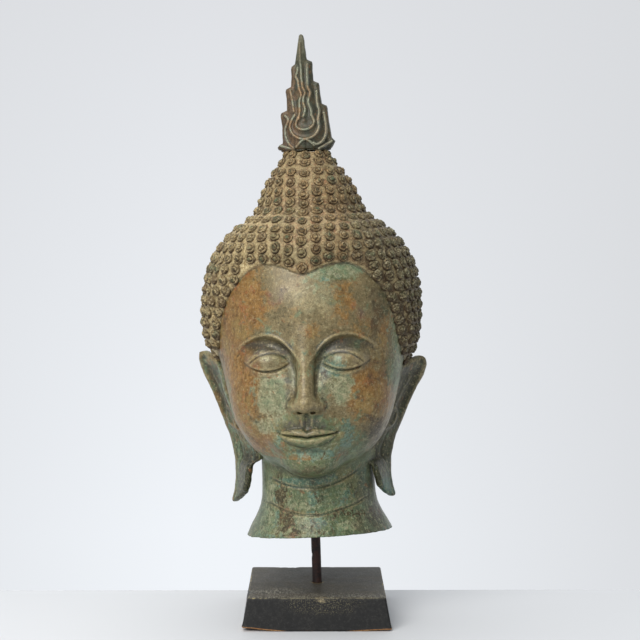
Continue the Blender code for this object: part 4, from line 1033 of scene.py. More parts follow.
# ---------------------------------------------------------------- the stand
def build_block():
    lo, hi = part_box("base_block")
    foot, tall = (hi.x - lo.x) / 2 / MM, (hi.z - lo.z) / MM
    top, deeper = 141.4 / 2, 143.0 / 141.4
    hole = 5.25
    # rings of points from the hole's foot, over the top, down the sides and under: how far out, how high
    rows = [(hole, tall - 7.0), (hole, tall - 0.9), (hole + 0.35, tall - 0.2), (hole + 0.9, tall - 0.05)]
    for s in np.linspace(0.0, 1.0, 40):
        rows.append((hole + 1.8 + (top - 1.3 - hole - 1.8) * s, tall))
    rows += [(top - 0.75, tall - 0.08), (top - 0.32, tall - 0.32), (top - 0.08, tall - 0.75)]
    for s in np.linspace(0.0, 1.0, 16):
        z = (tall - 1.3) * (1 - s) + 1.9 * s
        rows.append((top + (foot - top) * (1 - z / tall), z))
    under = len(rows)
    rows += [(foot - 0.10, 1.1), (foot - 0.45, 0.45), (foot - 1.1, 0.1), (foot - 2.2, 0.0), (foot - 8.0, 0.0), (foot - 20.0, 0.0), (foot * 0.5, 0.0), (foot * 0.2, 0.0)]
    per, pts = 64, []
    side = np.linspace(-1, 1, per + 1)[:-1]
    # points crowd a little towards the corners
    side = np.sin(side * math.pi / 2 * 0.86) / math.sin(math.pi / 2 * 0.86)
    square = np.concatenate([np.stack([side, -np.ones(per)], 1), np.stack([np.ones(per), side], 1), np.stack([-side, np.ones(per)], 1), np.stack([-np.ones(per), -side], 1)])
    angle = np.arctan2(square[:, 1], square[:, 0])
    circle = np.stack([np.cos(angle), np.sin(angle)], 1)
    for half, z in rows:
        blend_in = float(ramp(8.0, 26.0, np.array(half)))
        corner = 1.0 + 1.0 * (half > top - 1.0)
        ring = square * half
        over = np.minimum(np.abs(ring), half - corner) * np.sign(ring)
        away = ring - over
        length = np.maximum(np.linalg.norm(away, axis=1), 1e-9)[:, None]
        rounded = np.where((np.abs(ring) > half - corner).all(1)[:, None], over + away / length * corner, ring)
        flat = circle * half * (1 - blend_in) + rounded * blend_in if half > corner * 2 else circle * half
        pts.append(np.concatenate([flat, np.full((len(flat), 1), z)], 1))
    n = len(square)
    points = np.concatenate(pts)
    centre = np.clip(1 - np.hypot(points[:, 0], points[:, 1]) / 40.0, 0, 1)
    points[:, 0] += ROD_AT * centre
    faces = []
    for j in range(len(rows) - 1):
        for k in range(n):
            a, b = j * n + k, j * n + (k + 1) % n
            faces.append((a, a + n, b + n, b))
    quads = np.array(faces)
    last = len(points)
    points = np.concatenate([points, [[ROD_AT, 0, tall - 7.0]], [[0, 0, 0.0]]])
    base = (len(rows) - 1) * n
    fan = [(last, k, (k + 1) % n) for k in range(n)] + [(last + 1, base + (k + 1) % n, base + k) for k in range(n)]
    quads = np.concatenate([quads[:, [0, 1, 2]], quads[:, [0, 2, 3]], np.array(fan)])
    row = np.concatenate([np.repeat(np.arange(len(rows)), n), [0, len(rows)]])
    out = np.maximum(np.abs(points[:, 0]), np.abs(points[:, 1]))
    high = points[:, 2].copy()
    x, y = points[:, 0].copy(), points[:, 1].copy()
    arris = bell(np.hypot(out - top, high - tall), 2.6)
    chips = np.maximum(cloud(points, 9, 3, 51) - 0.58, 0) * 5.0 * arris
    # one old knock on the front edge
    knock = bell(np.hypot((x - 4.4) / 4.0, (y + 69.2) / 2.2), 0.85) * (high > tall - 5)
    soft = 0.25 * (cloud(points, 34, 2, 52) - 0.5) + 0.10 * (noise(points, 5, 53) - 0.5)
    inward = np.stack([x, y, np.zeros(len(points))], 1) / np.maximum(out, 1)[:, None]
    points = points - inward * (np.clip(chips, 0, 0.8) + 0.9 * knock + np.maximum(soft, -0.05) * (high > 0.5) * (out > top - 2))[:, None]
    points[:, 2] -= (np.clip(chips, 0, 0.7) * 0.7 + 0.9 * knock + 0.10 + 0.6 * np.maximum(soft, -0.1)) * (high > tall - 2) * (out > hole + 1.5)
    # the foot's corners are worn away underneath, the front left one most
    to_corner = np.minimum(np.abs(x), np.abs(y)) / foot
    lift = (1.5 + 2.2 * (x < 0) * (y < 0) * 1.0) * ramp(0.35, 1.02, to_corner) ** 1.5
    rest = np.clip(1 - (high - 1.0) / 16.0, 0, 1)
    points[:, 2] += lift * np.where(row >= under + 4, ramp(foot - 22, foot - 2, out), rest)
    points[:, 1] *= 1 + (deeper - 1) * np.clip(high / tall, 0, 1)
    points[:, 2] = np.maximum(points[:, 2], 0.0)
    mesh = new_mesh("wood_block", points, quads)
    mesh.set_sharp_from_angle(angle=math.radians(50))
    give(mesh, "arris", np.clip(arris, 0, 1))
    give(mesh, "knock", bell(np.hypot((x - 4.4) / 4.2, (y + 69.2) / 2.4) - 0.9, 0.32) * (high > tall - 5))
    give(mesh, "raw", (row >= under - 0) * 1.0 * (row < under + 4) * (0.30 + 0.70 * ramp(0.30, 0.75, to_corner)))
    give(mesh, "mouth", bell(np.hypot(x - ROD_AT, y) - 6.4, 1.2) * (high > tall - 2) * ramp(3, -3, y))
    give(mesh, "wear", (high > tall - 2) * np.maximum(ramp(-40, -68, y) * 0.7, np.exp(-((x + 46) / 24.0) ** 2 - ((y + 44) / 14.0) ** 2)))
    give(mesh, "speck", np.exp(-((x - 6) / 38.0) ** 2) * (y < -60) * ramp(6, 32, high))
    keep_inside(mesh)
    return put("wood_block", mesh)


ROD_AT, ROD_TILT, ROD_R = 0.57, -1.9, 5.0


def build_rod():
    lo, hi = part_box("support_rod")
    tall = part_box("base_block")[1].z / MM
    n, pts = 56, []
    axis = np.array([math.sin(math.radians(ROD_TILT)), 0.0, math.cos(math.radians(ROD_TILT))])
    across = np.array([axis[2], 0.0, -axis[0]])
    s0, s1 = -5.5, (hi.z / MM - tall) / axis[2] - 0.3
    stations = [(ROD_R - 0.8, s0), (ROD_R - 0.1, s0 + 0.6)] + [(ROD_R - 0.02, s) for s in np.linspace(s0 + 1.2, s1 - 1.2, 62)] + [(ROD_R - 0.1, s1 - 0.5), (ROD_R - 0.7, s1)]
    a = np.arange(n) * 2 * math.pi / n
    foot = np.array([ROD_AT, 0.0, tall])
    for r, s in stations:
        wob = 0.16 * (cloud(np.stack([6 * np.cos(a), 6 * np.sin(a), np.full(n, s)], 1), 6, 3, 61) - 0.35)
        notch = 0.9 * np.exp(-((s - 29.5) / 1.6) ** 2) * np.exp(-((np.mod(a, 2 * math.pi) - math.pi - 0.15) / 0.45) ** 2)
        rad = r - np.maximum(wob, 0) - notch
        pts.append(foot + axis * s + np.outer(np.cos(a) * rad, across) + np.outer(np.sin(a) * rad, [0, 1, 0]))
    points = np.concatenate(pts + [[foot + axis * s0], [foot + axis * s1]])
    faces, m = [], len(stations)
    for j in range(m - 1):
        for k in range(n):
            p, q = j * n + k, j * n + (k + 1) % n
            faces += [(p, q, q + n), (p, q + n, p + n)]
    for k in range(n):
        faces += [(m * n, (k + 1) % n, k), (m * n + 1, (m - 1) * n + k, (m - 1) * n + (k + 1) % n)]
    mesh = new_mesh("iron_rod", points, faces)
    keep_inside(mesh)
    return put("iron_rod", mesh)


# ---------------------------------------------------------------- where the patina differs, and where painted shade and painted highlights go, by head-frame places
# (across, height), (half-widths), strength
WARM = [((-62, 334), (25, 36), 1.0), ((-60, 262), (16, 44), 0.8), ((-78, 330), (12, 30), 0.6), ((-76, 290), (17, 44), 1.1), ((-70, 240), (22, 40), 1.1), ((-56, 198), (24, 24), 0.95), ((-36, 176), (18, 12), 0.7), ((38, 332), (13, 22), 0.68), ((58, 300), (14, 16), 0.5), ((72, 262), (12, 24), 0.4), ((62, 234), (22, 27), 1.1), ((-22, 322), (13, 12), 0.4),
        ((78, 296), (10, 40), 0.6), ((4, 168), (40, 10), 0.85), ((-24, 154), (30, 8), 0.6), ((44, 166), (18, 10), 0.7), ((-4, 126), (16, 6), 0.4), ((10, 302), (9, 10), 0.5), ((26, 352), (12, 6), 0.25)]
# pale patina; on the forehead and cheeks it is partly a painted highlight
PALE = [((6, 334), (26, 16), 0.75), ((-24, 316), (16, 16), 0.5), ((28, 332), (17, 18), 1.1), ((-38, 344), (9, 9), 0.3), ((-34, 240), (18, 26), 0.95), ((20, 262), (12, 28), 0.6), ((36, 248), (15, 17), 0.6), ((-14, 290), (7, 28), 0.3), ((-42, 208), (12, 12), 0.6), ((-36, 268), (13, 8), 0.6), ((34, 276), (14, 8), 0.5)]
GREEN = [((2, 200), (40, 20), 0.9), ((-24, 186), (24, 16), 0.6), ((26, 190), (24, 22), 0.75), ((42, 180), (26, 26), 0.7), ((8, 272), (14, 34), 0.3), ((34, 358), (22, 9), 0.8), ((88, 268), (9, 46), 0.7), ((80, 330), (8, 24), 0.5),
         ((-84, 232), (6, 40), 0.4), ((0, 112), (100, 34), 1.0), ((46, 216), (14, 14), 0.4), ((-48, 168), (18, 12), 0.5), ((20, 304), (12, 12), 0.3), ((-34, 286), (22, 10), 0.4)]
DARK = [((-4, 156), (50, 9), 0.55), ((66, 192), (16, 36), 0.6), ((76, 330), (14, 30), 0.6), ((30, 206), (14, 14), 0.3), ((72, 262), (14, 30), 0.45), ((20, 228), (8, 16), 0.4), ((-88, 300), (5, 60), 0.4), ((52, 126), (16, 26), 0.5), ((64, 96), (18, 12), 0.5)]
FLAKE = [((-36, 128), (8, 18), 1.0), ((-30, 104), (12, 12), 0.9), ((-24, 92), (20, 7), 0.7), ((26, 108), (26, 7), 0.75), ((8, 128), (9, 12), 0.55), ((44, 104), (12, 10), 0.6), ((-26, 134), (7, 6), 0.6), ((4, 94), (30, 6), 0.5), ((-8, 164), (26, 10), 0.45), ((16, 172), (22, 9), 0.4)]
SAGE = [((-34, 236), (17, 26), 1.0), ((-44, 206), (12, 12), 0.9), ((20, 258), (11, 30), 1.0), ((34, 244), (13, 18), 1.0), ((-13, 262), (7, 26), 0.7), ((46, 284), (12, 9), 0.8), ((24, 358), (16, 7), 0.85), ((44, 360), (14, 8), 0.9), ((8, 346), (10, 8), 0.5),
        ((88, 300), (6, 50), 0.8), ((-34, 276), (13, 8), 0.7), ((30, 282), (14, 8), 0.8), ((10, 180), (30, 10), 0.6), ((-38, 92), (20, 6), 0.8), ((36, 97), (14, 5), 0.85), ((-46, 120), (8, 26), 0.8), ((-10, 118), (24, 6), 0.7), ((20, 330), (10, 8), 0.5), ((-8, 124), (30, 6), 0.5)]
TEAL = [((28, 268), (17, 13), 0.8), ((38, 196), (10, 18), 0.65), ((-30, 190), (10, 16), 0.55), ((4, 178), (34, 8), 0.6), ((22, 150), (40, 5), 0.5), ((-68, 176), (7, 30), 0.45), ((20, 352), (10, 5), 0.4),
        ((-14, 142.5), (24, 3.6), 1.3), ((-20, 137.5), (18, 2.4), 1.0), ((0, 127), (8, 10), 0.75), ((3, 101), (11, 8), 0.6), ((-40, 112), (5, 24), 0.5), ((52, 140), (6, 16), 0.6), ((-4, 111), (8, 2.4), 0.9), ((-18, 86), (60, 4), 0.55), ((34, 128), (14, 12), 0.5), ((84, 290), (5, 30), 0.5), ((70, 122), (7, 9), 0.9), ((-34, 300), (20, 5), 0.4)]
# dusky grey patina low on the neck, and painted shade in the brow hollows, at the eyes' corners, beside the nose and
# elsewhere on the face
DUSKY_PATINA_AND_SHADE = [((-4, 97), (26, 9), 0.45), ((62, 104), (10, 9), 0.95), ((20, 104), (14, 6), 0.4), ((-26, 338), (18, 14), 0.42), ((-36, 284), (25, 7), 1.0), ((36, 284), (25, 7), 1.0), ((-52, 274), (10, 10), 0.5), ((50, 272), (12, 10), 0.5), ((58, 316), (9, 20), 0.4), ((-4, 206), (28, 9), 0.75), ((66, 196), (10, 22), 0.6), ((-17, 250), (5, 30), 0.5), ((18, 262), (5, 24), 0.5)]
ROSE = [((-28, 106), (9, 12), 1.0), ((-20, 92), (10, 6), 0.8), ((-34, 118), (5, 12), 0.6), ((-8, 96), (12, 4), 0.5), ((24, 122), (14, 3), 0.4)]


def blobs(p, table):
    total = np.zeros(len(p))
    front = 1 - ramp(-15, 25, p[:, 1])
    for (x, z), (rx, rz), much in table:
        total = np.maximum(total, much * np.exp(-(((p[:, 0] - x) / rx) ** 2 + ((p[:, 2] - z) / rz) ** 2) ** 1.3 / 1.3))
    return total * front


def edge_ends(mesh):
    edges = np.empty(len(mesh.edges) * 2, np.int32)
    mesh.edges.foreach_get("vertices", edges)
    return edges.reshape(-1, 2).T


def concavity(mesh, rounds, across):
    """How far each point lies in a hollow, -1 to 1, against the surface smoothed that many times."""
    p = co_of(mesh)
    a, b = edge_ends(mesh)
    deg = np.maximum(np.bincount(a, minlength=len(p)) + np.bincount(b, minlength=len(p)), 1)
    q = p.copy()
    for _ in range(rounds):
        q = 0.4 * q + 0.6 * np.stack([np.bincount(a, q[b, i], len(p)) + np.bincount(b, q[a, i], len(p)) for i in range(3)], 1) / deg[:, None]
    normal = np.empty(len(p) * 3, np.float32)
    mesh.vertices.foreach_get("normal", normal)
    return np.clip(((q - p) * normal.reshape(-1, 3)).sum(1) / across, -1, 1)


def near_curl(p, centres):
    """Distance to the nearest curl's middle."""
    from mathutils.kdtree import KDTree
    tree = KDTree(len(centres))
    for i, c in enumerate(centres):
        tree.insert(c, i)
    tree.balance()
    return np.array([tree.find(q)[2] for q in p])


def mark_casting(mesh, centres):
    p = to_head(co_of(mesh))
    hairy = ramp(-0.8, 1.4, hair_margin(p)) * ramp(-5.0, -3.2, -np.abs(hair_skin(p)))
    beside = (hair_margin(p) > -9) & (p[:, 2] > 150)
    halo = np.full(len(p), 40.0)
    halo[beside] = near_curl(p[beside], centres)
    give(mesh, "hair_part", hairy)
    # a dark ring round each curl's foot, for dirt and painted contact shadow
    give(mesh, "halo", np.exp(-(np.maximum(halo - 5.3, 0) / 1.3) ** 2) * (halo < 20))
    big = cloud(p, 46, 3, 71)
    mid = cloud(p, 17, 3, 73)
    behind = ramp(-20, 30, p[:, 1])
    give(mesh, "warm", np.clip(blobs(p, WARM) + behind * ramp(0.50, 0.66, big) * 0.8, 0, 1))
    give(mesh, "pale", np.clip(blobs(p, PALE) + behind * ramp(0.55, 0.70, cloud(p, 38, 3, 75)) * 0.5, 0, 1))
    give(mesh, "green", np.clip(np.maximum(blobs(p, GREEN), (0.85 * (p[:, 2] < 172) + 0.5 * behind) * ramp(0.36, 0.56, mid + 0.2 * (p[:, 2] < 172))), 0, 1))
    give(mesh, "dark", np.clip(blobs(p, DARK) + 0.4 * ramp(0.60, 0.75, mid), 0, 1))
    a, b = edge_ends(mesh)
    dense = (2.0 / float(np.median(np.linalg.norm(p[a] - p[b], axis=1)))) ** 2
    fine, broad = concavity(mesh, max(1, int(round(3 * dense))), 0.35), concavity(mesh, int(round(16 * dense)), 1.6)
    give(mesh, "hollow", np.clip(fine, 0, 1))
    give(mesh, "vale", np.clip(broad, 0, 1))
    crease = bell(p[:, 2] - FOLD_LOW(p[:, 0]), 1.6) + bell(p[:, 2] - FOLD_UP(p[:, 0]), 2.2)
    give(mesh, "crease", crease * (1 - ramp(-25, -5, p[:, 1])) * (1 - ramp(44, 54, np.abs(p[:, 0]))))
    lobe = 0.5 * ramp(60, 66, p[:, 0]) * (1 - ramp(118, 132, p[:, 2])) * (p[:, 1] > -25)
    give(mesh, "teal", np.clip(blobs(p, TEAL) + 0.8 * lobe, 0, 1))
    give(mesh, "dusky_patina_and_shade", blobs(p, DUSKY_PATINA_AND_SHADE))
    give(mesh, "sage", blobs(p, SAGE))
    give(mesh, "flake", blobs(p, FLAKE))
    give(mesh, "rose", blobs(p, ROSE))
    give(mesh, "low", 1 - ramp(128, 168, p[:, 2]))
    is_ear = (np.abs(p[:, 0]) > 60) & (ears(p) < 1.2) & (p[:, 2] < 285) & (p[:, 1] > -22) & (face_mass(p) > 1.0) & (neck(p) > 2.5)
    t, away, _ = ear_place(p)
    lobes = is_ear * (1 - ramp(176, 196, p[:, 2]))
    give(mesh, "lobes", lobes)
    give(mesh, "spot", is_ear * (p[:, 0] > 0) * np.exp(-((p[:, 0] - 71.5) / 6.0) ** 2 - ((p[:, 2] - 130) / 8.0) ** 2))
    rim = ramp(0.84, 0.98, t) + 0.8 * ramp(0.10, -0.02, t) * (p[:, 2] < 205) * (p[:, 2] > 168)
    crust = bell(t - 0.08, 0.12) * ramp(196, 204, p[:, 2]) * (p[:, 2] < 270)
    give(mesh, "crust", is_ear * np.clip(crust, 0, 1))
    give(mesh, "ridge", np.clip(-fine, 0, 1) * ramp(1.5, 5.0, above_cut(p)) * (1 - is_ear * np.where(p[:, 2] < 192, 0.9, 0.4)))
    give(mesh, "ear", is_ear * 1.0)
    give(mesh, "earrim", is_ear * np.clip(rim, 0, 1))
    # the ear's bowl and the lobes' inner side, for painted shade
    bowl = ramp(0.16, 0.30, t) * (1 - ramp(0.74, 0.88, t)) * ramp(200, 216, p[:, 2]) * (1 - ramp(250, 261, p[:, 2])) * (away > 0)
    lower = ramp(0.78, 0.40, t) * (1 - ramp(162, 180, p[:, 2]))
    give(mesh, "inner", is_ear * np.clip(0.75 * bowl + lower, 0, 1))
    # the neck's turned-away sides, for a painted sheen; the right side, for painted shade; the left side, for painted
    # light
    give(mesh, "flank", np.clip(ramp(38, 56, np.abs(p[:, 0] + 1.0)) * (p[:, 2] < 158) * (p[:, 2] > 60) * (1 - is_ear), 0, 1))
    give(mesh, "shade", ramp(28, 80, p[:, 0]))
    give(mesh, "light", ramp(-10, -62, p[:, 0]) * (1 - ramp(40, 70, p[:, 1])))


# ---------------------------------------------------------------- materials
def tone(r, g, b, gain=0.62, rich=1.22):
    """A colour as it looks under the studio's light, as the surface's own."""
    c = np.array([r, g, b]) / 255.0
    c = np.clip(c.mean() + (c - c.mean()) * rich, 0, 1)
    c = np.where(c <= 0.04045, c / 12.92, ((c + 0.055) / 1.055) ** 2.4) * gain
    return (float(c[0]), float(c[1]), float(c[2]), 1.0)


class Finish:
    """A material made from nodes."""

    def __init__(self, name, metallic=0.0, specular=0.5, coat=0.0, coat_rough=0.2):
        self.mat = bpy.data.materials.new(name)
        self.mat.use_nodes = True
        self.tree = self.mat.node_tree
        self.bsdf = self.tree.nodes["Principled BSDF"]
        self.bsdf.inputs["Metallic"].default_value = metallic
        self.bsdf.inputs["Specular IOR Level"].default_value = specular
        self.bsdf.inputs["Coat Weight"].default_value = coat
        self.bsdf.inputs["Coat Roughness"].default_value = coat_rough
        self.coord = self.tree.nodes.new("ShaderNodeTexCoord")
        self.offset = 0

    def link(self, value, socket):
        if isinstance(value, bpy.types.NodeSocket):
            self.tree.links.new(value, socket)
        else:
            socket.default_value = value

    def attr(self, name):
        n = self.tree.nodes.new("ShaderNodeAttribute")
        n.attribute_name = name
        return n.outputs["Fac"]

    def noise(self, scale, detail=4.0, rough=0.55, distort=0.0, stretch=None):
        n = self.tree.nodes.new("ShaderNodeTexNoise")
        m = self.tree.nodes.new("ShaderNodeMapping")
        self.offset += 1
        m.inputs["Location"].default_value = (0.37 * self.offset, -0.23 * self.offset, 0.61 * self.offset)
        if stretch:
            m.inputs["Scale"].default_value = stretch
        self.tree.links.new(self.coord.outputs["Object"], m.inputs["Vector"])
        self.tree.links.new(m.outputs["Vector"], n.inputs["Vector"])
        n.inputs["Scale"].default_value = scale
        n.inputs["Detail"].default_value = detail
        n.inputs["Roughness"].default_value = rough
        n.inputs["Distortion"].default_value = distort
        return n.outputs["Fac"]

    def cells(self, scale, feature="F1", random=1.0, bent=0.0):
        n = self.tree.nodes.new("ShaderNodeTexVoronoi")
        n.feature = feature
        place = self.coord.outputs["Object"]
        if bent:
            # the cells' places shifted by a noise, so that no line runs straight
            shift = self.tree.nodes.new("ShaderNodeTexNoise")
            shift.inputs["Scale"].default_value = scale * 1.6
            shift.inputs["Detail"].default_value = 5.0
            self.tree.links.new(place, shift.inputs["Vector"])
            scaled = self.tree.nodes.new("ShaderNodeVectorMath")
            scaled.operation = "MULTIPLY_ADD"
            self.tree.links.new(shift.outputs["Color"], scaled.inputs[0])
            scaled.inputs[1].default_value = (bent, bent, bent)
            self.tree.links.new(place, scaled.inputs[2])
            place = scaled.outputs[0]
        self.tree.links.new(place, n.inputs["Vector"])
        n.inputs["Scale"].default_value = scale
        n.inputs["Randomness"].default_value = random
        return n.outputs["Distance"]

    def math(self, op, a, b=0.0, c=None, clamp=False):
        n = self.tree.nodes.new("ShaderNodeMath")
        n.operation = op
        n.use_clamp = clamp
        self.link(a, n.inputs[0])
        self.link(b, n.inputs[1])
        if c is not None:
            self.link(c, n.inputs[2])
        return n.outputs[0]

    def step(self, value, lo, hi, to_lo=0.0, to_hi=1.0):
        """Goes smoothly from to_lo to to_hi as value goes from lo to hi."""
        n = self.tree.nodes.new("ShaderNodeMapRange")
        n.interpolation_type = "SMOOTHSTEP"
        self.link(value, n.inputs["Value"])
        for key, v in (("From Min", lo), ("From Max", hi), ("To Min", to_lo), ("To Max", to_hi)):
            n.inputs[key].default_value = v
        return n.outputs["Result"]

    def mix(self, fac, a, b, mode="MIX"):
        n = self.tree.nodes.new("ShaderNodeMix")
        n.data_type = "RGBA"
        n.blend_type = mode
        n.clamp_factor = True
        self.link(fac, n.inputs[0])
        self.link(a, n.inputs[6])
        self.link(b, n.inputs[7])
        return n.outputs[2]

    def bump(self, height, strength, distance, normal=None):
        n = self.tree.nodes.new("ShaderNodeBump")
        n.inputs["Strength"].default_value = strength
        n.inputs["Distance"].default_value = distance
        self.link(height, n.inputs["Height"])
        if normal is not None:
            self.tree.links.new(normal, n.inputs["Normal"])
        return n.outputs["Normal"]

    def done(self, colour, rough, normal=None):
        self.link(colour, self.bsdf.inputs["Base Color"])
        self.link(rough, self.bsdf.inputs["Roughness"])
        if normal is not None:
            self.tree.links.new(normal, self.bsdf.inputs["Normal"])
        return self.mat


def grained(f, colour, fine, lo=0.86, hi=1.12):
    """Makes a colour a little lighter and darker with the fine noise."""
    grain = f.step(fine, 0.38, 0.62, lo, hi)
    tint = f.tree.nodes.new("ShaderNodeCombineColor")
    for k in range(3):
        f.link(grain, tint.inputs[k])
    return f.mix(1.0, colour, tint.outputs[0], "MULTIPLY")


def casting_finish():
    f = Finish("patinated_bronze", metallic=0.10, specular=0.42)
    n_big, n_mid, n_small, n_fine = f.noise(26, 6, 0.6), f.noise(80, 7, 0.62), f.noise(240, 6, 0.68), f.noise(900, 3, 0.6)
    streak = f.noise(150, 5, 0.65, 0.3, (1.0, 1.0, 0.34))

    def zone(name, sharp, wobble=0.9, grain=0.5, middle=0.5):
        v = f.math("MULTIPLY_ADD", f.math("SUBTRACT", n_mid, 0.5), wobble * 2, f.attr(name))
        v = f.math("MULTIPLY_ADD", f.math("SUBTRACT", n_small, 0.5), grain * 2, v)
        return f.step(v, middle - sharp, middle + sharp)

    # ground of the patina: olive to tan
    ground = f.mix(f.step(n_mid, 0.38, 0.62), tone(120, 110, 82), tone(150, 136, 104))
    ground = f.mix(f.step(n_small, 0.46, 0.64, 0.0, 0.6), ground, tone(158, 142, 106))
    pale = f.mix(f.step(n_small, 0.40, 0.60), tone(152, 142, 112), tone(180, 168, 132))
    pale = f.mix(f.step(n_big, 0.46, 0.58, 0.0, 0.65), pale, tone(150, 150, 124))
    # pale patina, on the forehead and cheeks partly a painted highlight
    colour = f.mix(f.math("MULTIPLY", zone("pale", 0.26), 0.85), ground, pale)
    warm = f.mix(f.step(n_small, 0.42, 0.58), tone(134, 102, 60), tone(164, 130, 82))
    warm = f.mix(f.step(n_big, 0.50, 0.60, 0.0, 0.75), warm, tone(158, 136, 88))
    warm = f.mix(f.step(n_mid, 0.55, 0.62, 0.0, 0.7), warm, tone(166, 112, 72))
    warm = f.mix(f.step(streak, 0.56, 0.64, 0.0, 0.6), warm, tone(104, 76, 42))
    warm = f.mix(f.step(f.noise(210, 7, 0.75), 0.58, 0.64, 0.0, 0.6), warm, tone(96, 74, 40))
    colour = f.mix(f.math("MULTIPLY", zone("warm", 0.22, 0.9, 0.6, 0.40), 0.95), colour, warm)
    green = f.mix(f.step(n_mid, 0.40, 0.60), tone(88, 106, 78), tone(114, 132, 98))
    green = f.mix(f.step(n_small, 0.50, 0.62, 0.0, 0.8), green, tone(126, 150, 128))
    green = f.mix(f.step(n_big, 0.50, 0.62, 0.0, 0.6), green, tone(134, 130, 88))
    colour = f.mix(f.math("MULTIPLY", zone("green", 0.18, middle=0.46), 0.9), colour, green)
    # painted sheen: the neck's turned sides are drawn an even, satin grey-green, and darker in painted shade on the
    # right
    flank = f.math("MULTIPLY", f.attr("flank"), 0.8)
    colour = f.mix(flank, colour, f.mix(f.step(n_mid, 0.4, 0.6), tone(102, 114, 92), tone(126, 138, 116)))
    colour = f.mix(f.math("MULTIPLY", flank, f.math("MULTIPLY", f.attr("shade"), 0.8)), colour, f.mix(f.step(n_small, 0.4, 0.6), tone(66, 70, 56), tone(98, 100, 82)))
    # ears: tan and green, with painted shade inside the bowl, on the lobes' inner side and over the right ear
    ear = f.mix(f.step(n_mid, 0.42, 0.58), tone(88, 96, 68), tone(130, 104, 66))
    ear = f.mix(f.step(streak, 0.50, 0.58, 0.0, 0.85), ear, tone(104, 130, 102))
    hairline = f.noise(330, 6, 0.78, 0.4, (1.0, 1.0, 0.25))
    lobe = f.mix(f.step(hairline, 0.45, 0.56), tone(64, 74, 54), tone(136, 152, 126))
    lobe = f.mix(f.step(n_mid, 0.50, 0.58, 0.0, 0.6), lobe, tone(128, 118, 84))
    ear = f.mix(f.math("MULTIPLY", f.attr("lobes"), 0.85), ear, lobe)
    ear = f.mix(f.math("MULTIPLY", f.attr("earrim"), 0.7), ear, f.mix(n_small, tone(116, 102, 70), tone(146, 128, 90)))
    ear = f.mix(f.math("MULTIPLY", f.attr("crust"), f.step(n_small, 0.34, 0.54, 0.5, 1.0)), ear, f.mix(f.step(n_small, 0.44, 0.60), tone(92, 112, 88), tone(140, 164, 142)))
    ear = f.mix(f.math("MULTIPLY", f.attr("inner"), 0.92), ear, f.mix(f.step(n_small, 0.44, 0.60), tone(28, 27, 18), tone(70, 66, 46)))
    ear = f.mix(f.math("MULTIPLY", f.attr("shade"), 0.9), ear, f.mix(f.step(hairline, 0.44, 0.58), tone(38, 42, 28), tone(78, 78, 56)))
    colour = f.mix(f.math("MULTIPLY", f.attr("ear"), 0.92), colour, ear)
    sage = f.mix(f.step(n_small, 0.40, 0.60), tone(134, 142, 112), tone(184, 184, 154))
    sage = f.mix(f.step(n_mid, 0.52, 0.60, 0.0, 0.6), sage, tone(124, 148, 120))
    colour = f.mix(f.math("MULTIPLY", zone("sage", 0.22, 1.1, 0.8), 0.8), colour, sage)
    teal = f.mix(f.step(n_small, 0.4, 0.6), tone(80, 114, 100), tone(124, 156, 142))
    colour = f.mix(f.math("MULTIPLY", zone("teal", 0.12, 1.0, 0.7), 0.72), colour, teal)
    colour = f.mix(f.math("MULTIPLY", f.attr("spot"), f.step(n_small, 0.38, 0.54, 0.3, 0.95)), colour, tone(30, 108, 94))
    # dusky grey patina on the neck, and painted shade round the eyes and nose
    dusky_patina_and_shade = f.math("MULTIPLY", zone("dusky_patina_and_shade", 0.24, 0.6, 0.4), 0.8)
    colour = f.mix(dusky_patina_and_shade, colour, f.mix(f.step(n_mid, 0.42, 0.60), tone(74, 72, 60), tone(92, 84, 84)))
    # bloom of green, rust and dark spots over everything
    bloom = f.step(f.noise(52, 7, 0.72, 0.6), 0.585, 0.66, 0.0, 0.6)
    colour = f.mix(bloom, colour, f.mix(n_small, tone(104, 128, 100), tone(134, 160, 134)))
    rust = f.step(f.noise(70, 7, 0.72, 0.4), 0.60, 0.66, 0.0, 0.65)
    colour = f.mix(rust, colour, tone(158, 112, 74))
    dark = f.math("MULTIPLY", zone("dark", 0.26, 1.0, 0.7), 0.72)
    colour = f.mix(dark, colour, f.mix(n_small, tone(62, 54, 38), tone(84, 78, 58)))
    rose = f.math("MULTIPLY", f.attr("rose"), f.step(f.noise(130, 6, 0.7, 0.8), 0.50, 0.58, 0.0, 0.85))
    colour = f.mix(rose, colour, tone(160, 112, 92))
    flake = f.math("MULTIPLY", f.step(f.math("MULTIPLY_ADD", f.math("SUBTRACT", f.noise(150, 8, 0.74, 0.5, (1.0, 1.0, 0.7)), 0.5), 4.4, f.attr("flake")), 0.66, 0.72), f.step(f.attr("flake"), 0.12, 0.3))
    colour = f.mix(f.math("MULTIPLY", flake, 0.92), colour, f.mix(f.step(n_small, 0.4, 0.6), tone(52, 44, 28), tone(92, 78, 52)))
    scratch = f.noise(260, 6, 0.8, 0.8, (1.0, 1.0, 0.5))
    on_neck = f.step(f.attr("low"), 0.2, 0.8)
    colour = f.mix(f.math("MULTIPLY", f.step(scratch, 0.55, 0.60, 0.0, 0.75), on_neck), colour, tone(168, 176, 142))
    colour = f.mix(f.math("MULTIPLY", f.step(scratch, 0.44, 0.39, 0.0, 0.75), on_neck), colour, tone(54, 62, 42))
    # thin dark cracks
    line = f.math("ABSOLUTE", f.math("SUBTRACT", f.noise(38, 5, 0.62, 1.2), 0.5))
    crack = f.math("MULTIPLY", f.step(line, 0.0, 0.010, 1.0, 0.0), f.step(n_big, 0.46, 0.56))
    crack = f.math("MULTIPLY", crack, f.step(n_small, 0.42, 0.52))
    colour = f.mix(f.math("MULTIPLY", crack, 0.65), colour, tone(64, 58, 40))
